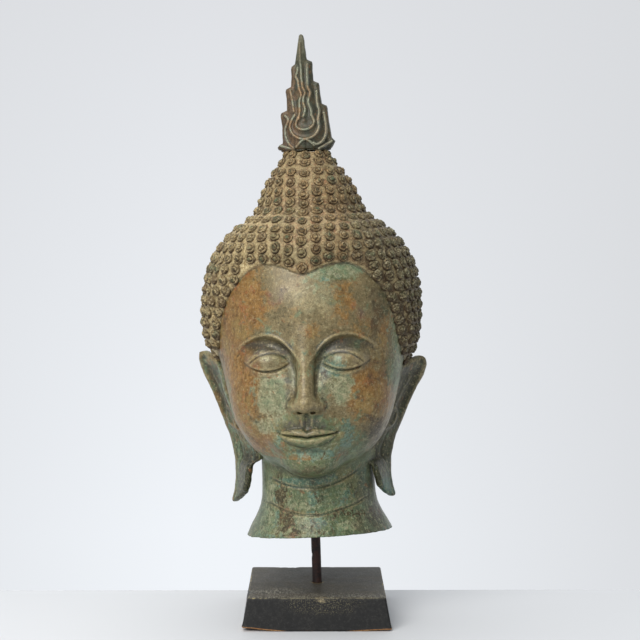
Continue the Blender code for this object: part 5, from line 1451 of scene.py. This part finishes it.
    # hair: a rough crust between the curls, olive, tan and pinkish, with dirt and painted contact shadow round each
    # curl
    speck = f.noise(430, 5, 0.78)
    hair_tan = f.mix(f.step(n_mid, 0.40, 0.60), tone(152, 130, 94), tone(184, 156, 118))
    hair_tan = f.mix(f.step(n_small, 0.50, 0.62, 0.0, 0.7), hair_tan, tone(128, 118, 84))
    hair_tan = f.mix(f.step(n_big, 0.52, 0.62, 0.0, 0.6), hair_tan, tone(140, 136, 102))
    hair_tan = f.mix(f.step(f.noise(110, 6, 0.7, 0.4), 0.55, 0.62, 0.0, 0.6), hair_tan, tone(178, 132, 98))
    hair_tan = f.mix(f.step(speck, 0.53, 0.60, 0.0, 0.8), hair_tan, tone(80, 66, 44))
    hair_tan = f.mix(f.step(speck, 0.47, 0.40, 0.0, 0.85), hair_tan, tone(212, 196, 160))
    # painted light: towards the left side the ground between the curls is drawn lighter, up to a near-white tan
    hair_tan = f.mix(f.math("MULTIPLY", f.attr("light"), 0.8), hair_tan, f.mix(f.step(speck, 0.40, 0.58), tone(255, 234, 190), tone(168, 146, 104)))
    # painted shade: towards the right side the ground between the curls is drawn darker, down to near black
    hair_tan = f.mix(f.math("MULTIPLY", f.attr("shade"), 0.85), hair_tan, f.mix(f.step(speck, 0.42, 0.54), tone(98, 88, 68), tone(34, 30, 20)))
    colour = f.mix(f.attr("hair_part"), colour, hair_tan)
    halo = f.math("MULTIPLY", f.attr("halo"), f.step(n_small, 0.30, 0.58, 0.45, 1.0))
    colour = f.mix(f.math("MULTIPLY", halo, f.attr("hair_part")), colour, tone(82, 62, 38))
    # dirt in creases, rubbed brightness on ridges
    dirt = f.math("MULTIPLY", f.step(f.attr("hollow"), 0.08, 0.6), f.step(n_small, 0.36, 0.58, 0.25, 0.75))
    dirt = f.math("MAXIMUM", dirt, f.math("MULTIPLY", f.step(f.attr("vale"), 0.15, 0.8), 0.42))
    dirt = f.math("MULTIPLY", dirt, f.math("MULTIPLY_ADD", f.attr("hair_part"), -0.75, 1.0))
    dirt = f.math("MAXIMUM", dirt, f.math("MULTIPLY", f.attr("crease"), f.step(n_small, 0.3, 0.6, 0.25, 0.7)))
    colour = f.mix(dirt, colour, tone(62, 60, 46))
    rub = f.math("MULTIPLY", f.step(f.attr("ridge"), 0.10, 0.7), f.step(n_small, 0.38, 0.6, 0.15, 0.7))
    colour = f.mix(rub, colour, tone(184, 170, 132))
    # pits
    pits = f.math("MULTIPLY", f.step(f.cells(340), 0.10, 0.22, 1.0, 0.0), f.step(f.noise(46, 4), 0.46, 0.56))
    pits = f.math("MULTIPLY", pits, f.math("SUBTRACT", 1.0, f.attr("hair_part")))
    colour = f.mix(f.math("MULTIPLY", pits, 0.7), colour, tone(62, 48, 30))
    web = f.math("MULTIPLY", f.step(f.cells(95, "DISTANCE_TO_EDGE", 1.0, 0.010), 0.0, 0.035, 1.0, 0.0), f.step(f.noise(30, 4), 0.52, 0.60))
    web = f.math("MULTIPLY", web, f.math("SUBTRACT", f.step(n_small, 0.40, 0.50), f.attr("hair_part"), clamp=True))
    colour = f.mix(f.math("MULTIPLY", web, 0.6), colour, tone(70, 60, 40))
    marks = f.noise(330, 8, 0.85)
    smooth_part = f.math("MULTIPLY_ADD", f.attr("hair_part"), -1.0, 1.0)
    colour = f.mix(f.math("MULTIPLY", f.step(marks, 0.55, 0.60, 0.0, 0.72), smooth_part), colour, tone(68, 56, 34))
    colour = f.mix(f.math("MULTIPLY", f.step(marks, 0.45, 0.40, 0.0, 0.66), smooth_part), colour, tone(194, 184, 150))
    colour = grained(f, colour, n_fine, 0.82, 1.16)
    rough = f.math("MULTIPLY_ADD", n_small, 0.26, 0.27)
    rough = f.math("ADD", rough, f.math("MULTIPLY", f.attr("hair_part"), 0.16))
    rough = f.math("ADD", rough, f.math("MULTIPLY", f.math("MAXIMUM", dark, flake), 0.16), clamp=True)
    height = f.math("MULTIPLY_ADD", n_small, 0.5, f.math("MULTIPLY", n_fine, 0.28))
    height = f.math("SUBTRACT", height, f.math("MULTIPLY", f.math("MAXIMUM", pits, f.math("MAXIMUM", crack, flake)), 0.6))
    height = f.math("MULTIPLY_ADD", n_mid, 0.7, height)
    height = f.math("MULTIPLY_ADD", f.math("MULTIPLY", speck, f.attr("hair_part")), 2.2, height)
    return f.done(colour, rough, f.bump(height, 0.42, 0.0006))


def curl_finish():
    f = Finish("curl_bronze", metallic=0.08, specular=0.38)
    n_big, n_mid, n_small, n_fine = f.noise(26, 6, 0.6), f.noise(80, 6, 0.62), f.noise(300, 6, 0.70), f.noise(900, 4, 0.7)
    speck = f.noise(430, 5, 0.78)
    lift, tint, shade = f.attr("lift"), f.attr("tint"), f.attr("shade")
    normal = f.tree.nodes.new("ShaderNodeNewGeometry").outputs["Normal"]
    parts = f.tree.nodes.new("ShaderNodeSeparateXYZ")
    f.tree.links.new(normal, parts.inputs[0])
    painted_shade_below = f.step(parts.outputs["Z"], 0.10, -0.55)
    colour = f.mix(f.step(n_mid, 0.38, 0.62), tone(160, 136, 98), tone(192, 162, 120))
    colour = f.mix(f.step(n_small, 0.46, 0.60, 0.0, 0.7), colour, tone(124, 112, 78))
    colour = f.mix(f.step(n_big, 0.50, 0.60, 0.0, 0.6), colour, tone(146, 142, 104))
    # painted light: towards the left side the curls are drawn lighter, up to a near-white tan
    colour = f.mix(f.math("MULTIPLY", f.attr("light"), 0.8), colour, f.mix(f.step(speck, 0.40, 0.58), tone(252, 232, 188), tone(176, 158, 114)))
    # many curls are green or nearly black on the nub, some all over
    green = f.mix(f.step(n_small, 0.42, 0.60), tone(66, 82, 60), tone(120, 136, 110))
    colour = f.mix(f.step(f.math("MULTIPLY_ADD", f.math("SUBTRACT", n_mid, 0.5), 1.6, tint), 0.78, 0.98, 0.0, 0.7), colour, green)
    colour = f.mix(f.step(tint, 0.16, 0.06, 0.0, 0.7), colour, tone(112, 88, 58))
    colour = f.mix(f.step(speck, 0.53, 0.60, 0.0, 0.8), colour, tone(76, 62, 40))
    colour = f.mix(f.step(speck, 0.47, 0.40, 0.0, 0.9), colour, tone(212, 198, 164))
    # painted shade: towards the right side the curls are drawn a darker, greyer olive, with paler nub tops
    olive = f.mix(f.step(n_small, 0.44, 0.56), tone(78, 76, 54), tone(134, 128, 100))
    olive = f.mix(f.step(n_mid, 0.52, 0.60, 0.0, 0.6), olive, tone(104, 112, 82))
    olive = f.mix(f.step(speck, 0.53, 0.59, 0.0, 0.85), olive, tone(36, 34, 24))
    olive = f.mix(f.step(speck, 0.47, 0.41, 0.0, 0.95), olive, tone(204, 196, 168))
    olive = f.mix(f.step(lift, 0.80, 1.0, 0.0, 0.45), olive, tone(156, 146, 112))
    colour = f.mix(f.math("MULTIPLY", shade, 0.88), colour, olive)
    colour = f.mix(f.math("MULTIPLY", f.attr("dent"), f.step(lift, 0.78, 0.5, 0.1, 0.75)), colour, tone(62, 50, 32))
    nub = f.math("MULTIPLY", f.step(lift, 0.80, 0.93), f.step(f.math("MULTIPLY_ADD", n_small, 0.6, tint), 0.5, 0.9, 0.15, 0.85))
    colour = f.mix(f.math("MULTIPLY", nub, f.math("MULTIPLY_ADD", shade, -0.7, 1.0)), colour, f.mix(f.step(n_mid, 0.46, 0.60), tone(72, 64, 42), tone(86, 102, 76)))
    rim = f.math("MULTIPLY", f.step(f.attr("edge"), 0.60, 0.72), f.step(f.attr("edge"), 0.90, 0.80))
    colour = f.mix(f.math("MULTIPLY", rim, f.step(n_small, 0.52, 0.40, 0.0, 0.6)), colour, tone(192, 168, 128))
    # painted shade: where a curl's surface faces down it is drawn dark brown
    under = f.math("MULTIPLY", painted_shade_below, f.step(n_small, 0.3, 0.6, 0.5, 0.9))
    colour = f.mix(under, colour, tone(72, 54, 32))
    # dirt and painted shade round each curl's foot, drawn dark brown, with less of it on the lit left
    foot = f.math("MULTIPLY", f.step(lift, 0.02, 0.34, 1.0, 0.0), f.step(n_small, 0.3, 0.6, 0.35, 0.85))
    foot = f.math("MULTIPLY", foot, f.math("MULTIPLY_ADD", f.attr("light"), -0.35, 1.0))
    colour = f.mix(foot, colour, tone(68, 50, 30))
    groove = f.math("MULTIPLY", f.step(f.attr("groove"), 0.22, 0.85), f.step(n_small, 0.3, 0.6, 0.3, 0.85))
    colour = f.mix(groove, colour, tone(68, 50, 30))
    colour = grained(f, colour, n_fine, 0.78, 1.22)
    rough = f.math("MULTIPLY_ADD", n_small, 0.25, 0.46)
    height = f.math("MULTIPLY_ADD", speck, 0.9, f.math("MULTIPLY", n_fine, 0.4))
    return f.done(colour, rough, f.bump(height, 1.0, 0.0016))


def flame_finish():
    f = Finish("flame_bronze", metallic=0.10, specular=0.42)
    n_mid, n_small, n_fine = f.noise(95, 6, 0.62), f.noise(300, 6, 0.68), f.noise(1000, 3)
    ridge = f.attr("ridge")
    colour = f.mix(f.step(n_mid, 0.40, 0.60), tone(66, 66, 54), tone(92, 82, 62))
    colour = f.mix(f.step(n_small, 0.50, 0.62, 0.0, 0.6), colour, tone(88, 96, 80))
    left = f.step(f.math("MULTIPLY_ADD", n_mid, 1.3, f.math("MULTIPLY", f.attr("across"), -0.9)), 0.78, 1.0, 0.0, 0.7)
    colour = f.mix(left, colour, f.mix(f.step(n_small, 0.40, 0.60), tone(80, 64, 48), tone(120, 96, 72)))
    rub = f.math("MULTIPLY", f.step(ridge, 0.25, 0.85), f.step(n_small, 0.34, 0.56, 0.45, 1.0))
    bright = f.mix(f.step(n_mid, 0.44, 0.58), tone(172, 176, 156), tone(172, 146, 116))
    bright = f.mix(f.step(f.attr("across"), 0.1, 0.5, 0.0, 0.6), bright, tone(196, 192, 168))
    bright = f.mix(f.step(n_small, 0.53, 0.60, 0.0, 0.75), bright, tone(104, 106, 88))
    colour = f.mix(rub, colour, bright)
    spike = f.math("MULTIPLY", f.step(f.attr("height"), 0.66, 0.82), 0.75)
    colour = f.mix(spike, colour, f.mix(f.step(n_mid, 0.4, 0.6), tone(78, 80, 64), tone(112, 112, 94)))
    rust = f.step(f.noise(130, 6, 0.72, 0.4), 0.61, 0.68, 0.0, 0.5)
    colour = f.mix(rust, colour, tone(150, 104, 76))
    fleck = f.step(f.noise(230, 6, 0.72, 0.4), 0.64, 0.68, 0.0, 0.8)
    colour = f.mix(fleck, colour, tone(194, 186, 158))
    dots = f.math("MULTIPLY", f.step(f.cells(170), 0.13, 0.19, 1.0, 0.0), f.step(f.noise(70, 3), 0.50, 0.56))
    dots = f.math("MULTIPLY", dots, f.math("MULTIPLY", f.step(f.attr("height"), 0.55, 0.66), f.step(f.attr("height"), 0.90, 0.80)))
    colour = f.mix(dots, colour, tone(226, 220, 196))
    dirt = f.math("MULTIPLY", f.step(f.attr("hollow"), 0.06, 0.5), 0.85)
    colour = f.mix(dirt, colour, tone(44, 40, 30))
    colour = grained(f, colour, n_fine)
    rough = f.math("MULTIPLY_ADD", n_small, 0.25, 0.36)
    height = f.math("MULTIPLY_ADD", n_small, 0.6, f.math("MULTIPLY", n_fine, 0.3))
    return f.done(colour, rough, f.bump(height, 0.5, 0.0007))


def rod_finish():
    f = Finish("browned_iron", metallic=0.35, specular=0.5)
    n_mid, n_small = f.noise(110, 5, 0.6), f.noise(500, 4, 0.6)
    colour = f.mix(f.step(n_mid, 0.4, 0.62), tone(48, 40, 40), tone(74, 52, 47))
    colour = f.mix(f.step(n_small, 0.56, 0.68, 0.0, 0.4), colour, tone(108, 72, 58))
    return f.done(colour, f.math("MULTIPLY_ADD", n_small, 0.3, 0.42), f.bump(n_small, 0.5, 0.0004))


def block_finish():
    f = Finish("black_paint", metallic=0.0, specular=0.40)
    n_big, n_mid, n_small, n_fine = f.noise(16, 5), f.noise(70, 6, 0.65), f.noise(320, 6, 0.68), f.noise(1200, 3)
    grain = f.noise(60, 6, 0.6, 0.2, (0.12, 1.6, 1.0))
    scuff = f.noise(420, 5, 0.7, 0.6, (1.5, 0.45, 1.0))
    normal = f.tree.nodes.new("ShaderNodeNewGeometry").outputs["Normal"]
    z = f.tree.nodes.new("ShaderNodeSeparateXYZ")
    f.tree.links.new(normal, z.inputs[0])
    # painted reflection: where the surface faces up it is drawn a lighter grey than the near-black sides, as the
    # light's sheen on the same black paint; the grain, scuffs and wear on the top are its own
    up = f.step(z.outputs["Z"], 0.6, 0.95)
    side = f.mix(f.step(n_mid, 0.4, 0.65), tone(20, 21, 22), tone(31, 31, 31))
    side = f.mix(f.step(n_small, 0.52, 0.62, 0.0, 0.45), side, tone(56, 55, 53))
    side = f.mix(f.step(n_small, 0.48, 0.40, 0.0, 0.7), side, tone(12, 13, 14))
    top = f.mix(f.step(n_mid, 0.36, 0.64), tone(60, 58, 52), tone(78, 74, 65))
    top = f.mix(f.step(grain, 0.50, 0.66, 0.0, 0.55), top, tone(92, 84, 70))
    top = f.mix(f.step(n_big, 0.50, 0.62, 0.0, 0.5), top, tone(84, 82, 78))
    top = f.mix(f.step(n_small, 0.52, 0.62, 0.0, 0.5), top, tone(104, 100, 92))
    top = f.mix(f.math("MULTIPLY", f.math("ADD", f.attr("wear"), 0.12), f.step(scuff, 0.50, 0.56, 0.0, 1.0), clamp=True), top, tone(158, 154, 142))
    colour = f.mix(up, side, top)
    dust = f.math("MULTIPLY", f.step(f.cells(1000), 0.16, 0.34, 1.0, 0.0), f.step(f.math("MULTIPLY_ADD", n_mid, 0.8, f.attr("speck")), 0.60, 1.0))
    colour = f.mix(f.math("MULTIPLY", dust, 0.85), colour, tone(150, 142, 114))
    speck = f.math("MULTIPLY", f.step(f.cells(700), 0.07, 0.15, 1.0, 0.0), f.step(n_mid, 0.50, 0.60))
    colour = f.mix(f.math("MULTIPLY", speck, 0.55), colour, tone(128, 124, 112))
    worn = f.math("MULTIPLY", f.step(f.attr("arris"), 0.74, 0.98), f.step(f.math("MULTIPLY_ADD", n_small, 0.8, n_mid), 0.84, 1.0, 0.15, 0.9))
    colour = f.mix(f.math("MULTIPLY", worn, 0.7), colour, tone(140, 134, 112))
    bit = f.math("MULTIPLY", f.step(f.attr("arris"), 0.80, 0.98), f.step(f.math("MULTIPLY_ADD", n_small, 0.8, n_big), 1.0, 1.08))
    colour = f.mix(f.math("MULTIPLY", bit, 0.8), colour, tone(188, 172, 124))
    colour = f.mix(f.math("MULTIPLY", f.attr("knock"), f.step(n_small, 0.38, 0.54, 0.1, 0.8)), colour, tone(176, 164, 134))
    colour = f.mix(f.math("MULTIPLY", f.attr("mouth"), f.step(n_small, 0.36, 0.56, 0.3, 0.9)), colour, tone(160, 140, 92))
    raw = f.step(f.math("MULTIPLY_ADD", f.math("SUBTRACT", n_mid, 0.5), 0.8, f.attr("raw")), 0.32, 0.60)
    colour = f.mix(raw, colour, f.mix(f.step(n_small, 0.4, 0.6), tone(150, 108, 70), tone(196, 156, 112)))
    colour = grained(f, colour, f.noise(520, 5, 0.8), 0.68, 1.32)
    colour = grained(f, colour, n_fine, 0.90, 1.12)
    rough = f.math("MULTIPLY_ADD", n_mid, 0.3, 0.45)
    height = f.math("ADD", f.math("MULTIPLY", n_small, 0.5), f.math("MULTIPLY", grain, 0.6))
    return f.done(colour, rough, f.bump(height, 0.35, 0.0004))


def stage_finish(name, colour):
    f = Finish(name, specular=0.2)
    n = f.noise(3.0, 2)
    return f.done(f.mix(n, colour, tuple(c * 0.985 for c in colour[:3]) + (1.0,)), 0.6)


# ---------------------------------------------------------------- put together
casting_obj = build_casting()
curls, centres = build_curls()
mark_casting(casting_obj.data, centres)
flame_obj = build_flame()
give(flame_obj.data, "hollow", np.clip(concavity(flame_obj.data, 3, 0.3), 0, 1))
block = build_block()
rod = build_rod()

casting_obj.data.materials.append(casting_finish())
curl_mat = curl_finish()
for piece in curls:
    piece.data.materials.append(curl_mat)
flame_obj.data.materials.append(flame_finish())
block.data.materials.append(block_finish())
rod.data.materials.append(rod_finish())

for piece, node, slot in [(casting_obj, "buddha_head", "bronze"), (flame_obj, "flame_finial", "dark_bronze"), (block, "base_block", "black_wood"), (rod, "support_rod", "iron")] + [(c, "buddha_head", "bronze") for c in curls]:
    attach(piece, "root")
    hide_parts(node)

# ---------------------------------------------------------------- studio
bm = bmesh.new()
corners = [bm.verts.new(c) for c in ((-2.5, -2.2, 0), (2.5, -2.2, 0), (2.5, 0.103, 0), (-2.5, 0.103, 0))]
bm.faces.new(corners)
floor_mesh = bpy.data.meshes.new("floor")
bm.to_mesh(floor_mesh)
bm.free()
floor = put("floor", floor_mesh)
floor_mesh.materials.append(stage_finish("pale_table", (0.600, 0.617, 0.645, 1.0)))

scene = bpy.context.scene
world = bpy.data.worlds.new("studio")
scene.world = world
world.use_nodes = True
wt = world.node_tree
for node in list(wt.nodes):
    wt.nodes.remove(node)
out = wt.nodes.new("ShaderNodeOutputWorld")
lit, seen, join = wt.nodes.new("ShaderNodeBackground"), wt.nodes.new("ShaderNodeBackground"), wt.nodes.new("ShaderNodeMixShader")
path = wt.nodes.new("ShaderNodeLightPath")
way = wt.nodes.new("ShaderNodeTexCoord")
split = wt.nodes.new("ShaderNodeSeparateXYZ")
wt.links.new(way.outputs["Generated"], split.inputs[0])
fade = wt.nodes.new("ShaderNodeMapRange")
wt.links.new(split.outputs["Z"], fade.inputs["Value"])
for key, v in (("From Min", -0.20), ("From Max", 0.12), ("To Min", 0.0), ("To Max", 1.0)):
    fade.inputs[key].default_value = v
shade = wt.nodes.new("ShaderNodeMix")
shade.data_type = "RGBA"
wt.links.new(fade.outputs["Result"], shade.inputs[0])
shade.inputs[6].default_value = tone(241, 245, 250, 1.0, 1.0)
shade.inputs[7].default_value = tone(223, 225, 229, 1.0, 1.0)
# the backdrop is lit most just left of the middle
off = wt.nodes.new("ShaderNodeMath")
off.operation = "ADD"
wt.links.new(split.outputs["X"], off.inputs[0])
off.inputs[1].default_value = 0.055
far = wt.nodes.new("ShaderNodeMath")
far.operation = "ABSOLUTE"
wt.links.new(off.outputs[0], far.inputs[0])
dim = wt.nodes.new("ShaderNodeMapRange")
wt.links.new(far.outputs[0], dim.inputs["Value"])
for key, v in (("From Min", 0.02), ("From Max", 0.30), ("To Min", 0.0), ("To Max", 1.0)):
    dim.inputs[key].default_value = v
dimmed = wt.nodes.new("ShaderNodeMix")
dimmed.data_type = "RGBA"
wt.links.new(dim.outputs["Result"], dimmed.inputs[0])
wt.links.new(shade.outputs[2], dimmed.inputs[6])
dimmed.inputs[7].default_value = tone(216, 218, 221, 1.0, 1.0)
wt.links.new(dimmed.outputs[2], seen.inputs["Color"])
depth = wt.nodes.new("ShaderNodeMapRange")
wt.links.new(split.outputs["Y"], depth.inputs["Value"])
for key, v in (("From Min", -0.1), ("From Max", 0.8), ("To Min", 0.42), ("To Max", 0.95)):
    depth.inputs[key].default_value = v
lit.inputs["Color"].default_value = (0.95, 0.98, 1.0, 1.0)
wt.links.new(depth.outputs["Result"], lit.inputs["Strength"])
wt.links.new(path.outputs["Is Camera Ray"], join.inputs[0])
wt.links.new(lit.outputs[0], join.inputs[1])
wt.links.new(seen.outputs[0], join.inputs[2])
wt.links.new(join.outputs[0], out.inputs["Surface"])


def lamp(name, place, aim, size, power, colour):
    data = bpy.data.lights.new(name, "AREA")
    data.shape = "DISK"
    data.size = size
    data.energy = power
    data.color = colour
    obj = bpy.data.objects.new(name, data)
    scene.collection.objects.link(obj)
    obj.location = place
    obj.rotation_euler = (Vector(aim) - Vector(place)).to_track_quat("-Z", "Y").to_euler()
    return obj


lamp("key", (-0.85, -1.6, 1.45), (0, 0, 0.32), 1.5, 47.0, (1.0, 0.97, 0.925))
lamp("top", (-0.2, 0.15, 1.95), (0, 0, 0.3), 1.7, 14.5, (1.0, 0.99, 0.98))

cam_data = bpy.data.cameras.new("camera")
cam_data.sensor_width = 36.0
cam_data.lens = 36.0 * 1667.0 / 640.0
cam = bpy.data.objects.new("camera", cam_data)
scene.collection.objects.link(cam)
cam.location = (-0.0065, -1.748, 0.444)
cam.rotation_euler = (Vector((0.0036, 0.0, 0.313)) - cam.location).to_track_quat("-Z", "Y").to_euler()
scene.camera = cam
scene.view_settings.view_transform = "Standard"

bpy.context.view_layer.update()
print("scene made in", round(time.time() - STARTED, 1), "s;", {o.name: len(o.data.polygons) for o in scene.objects if o.type == "MESH" and not o.hide_render})
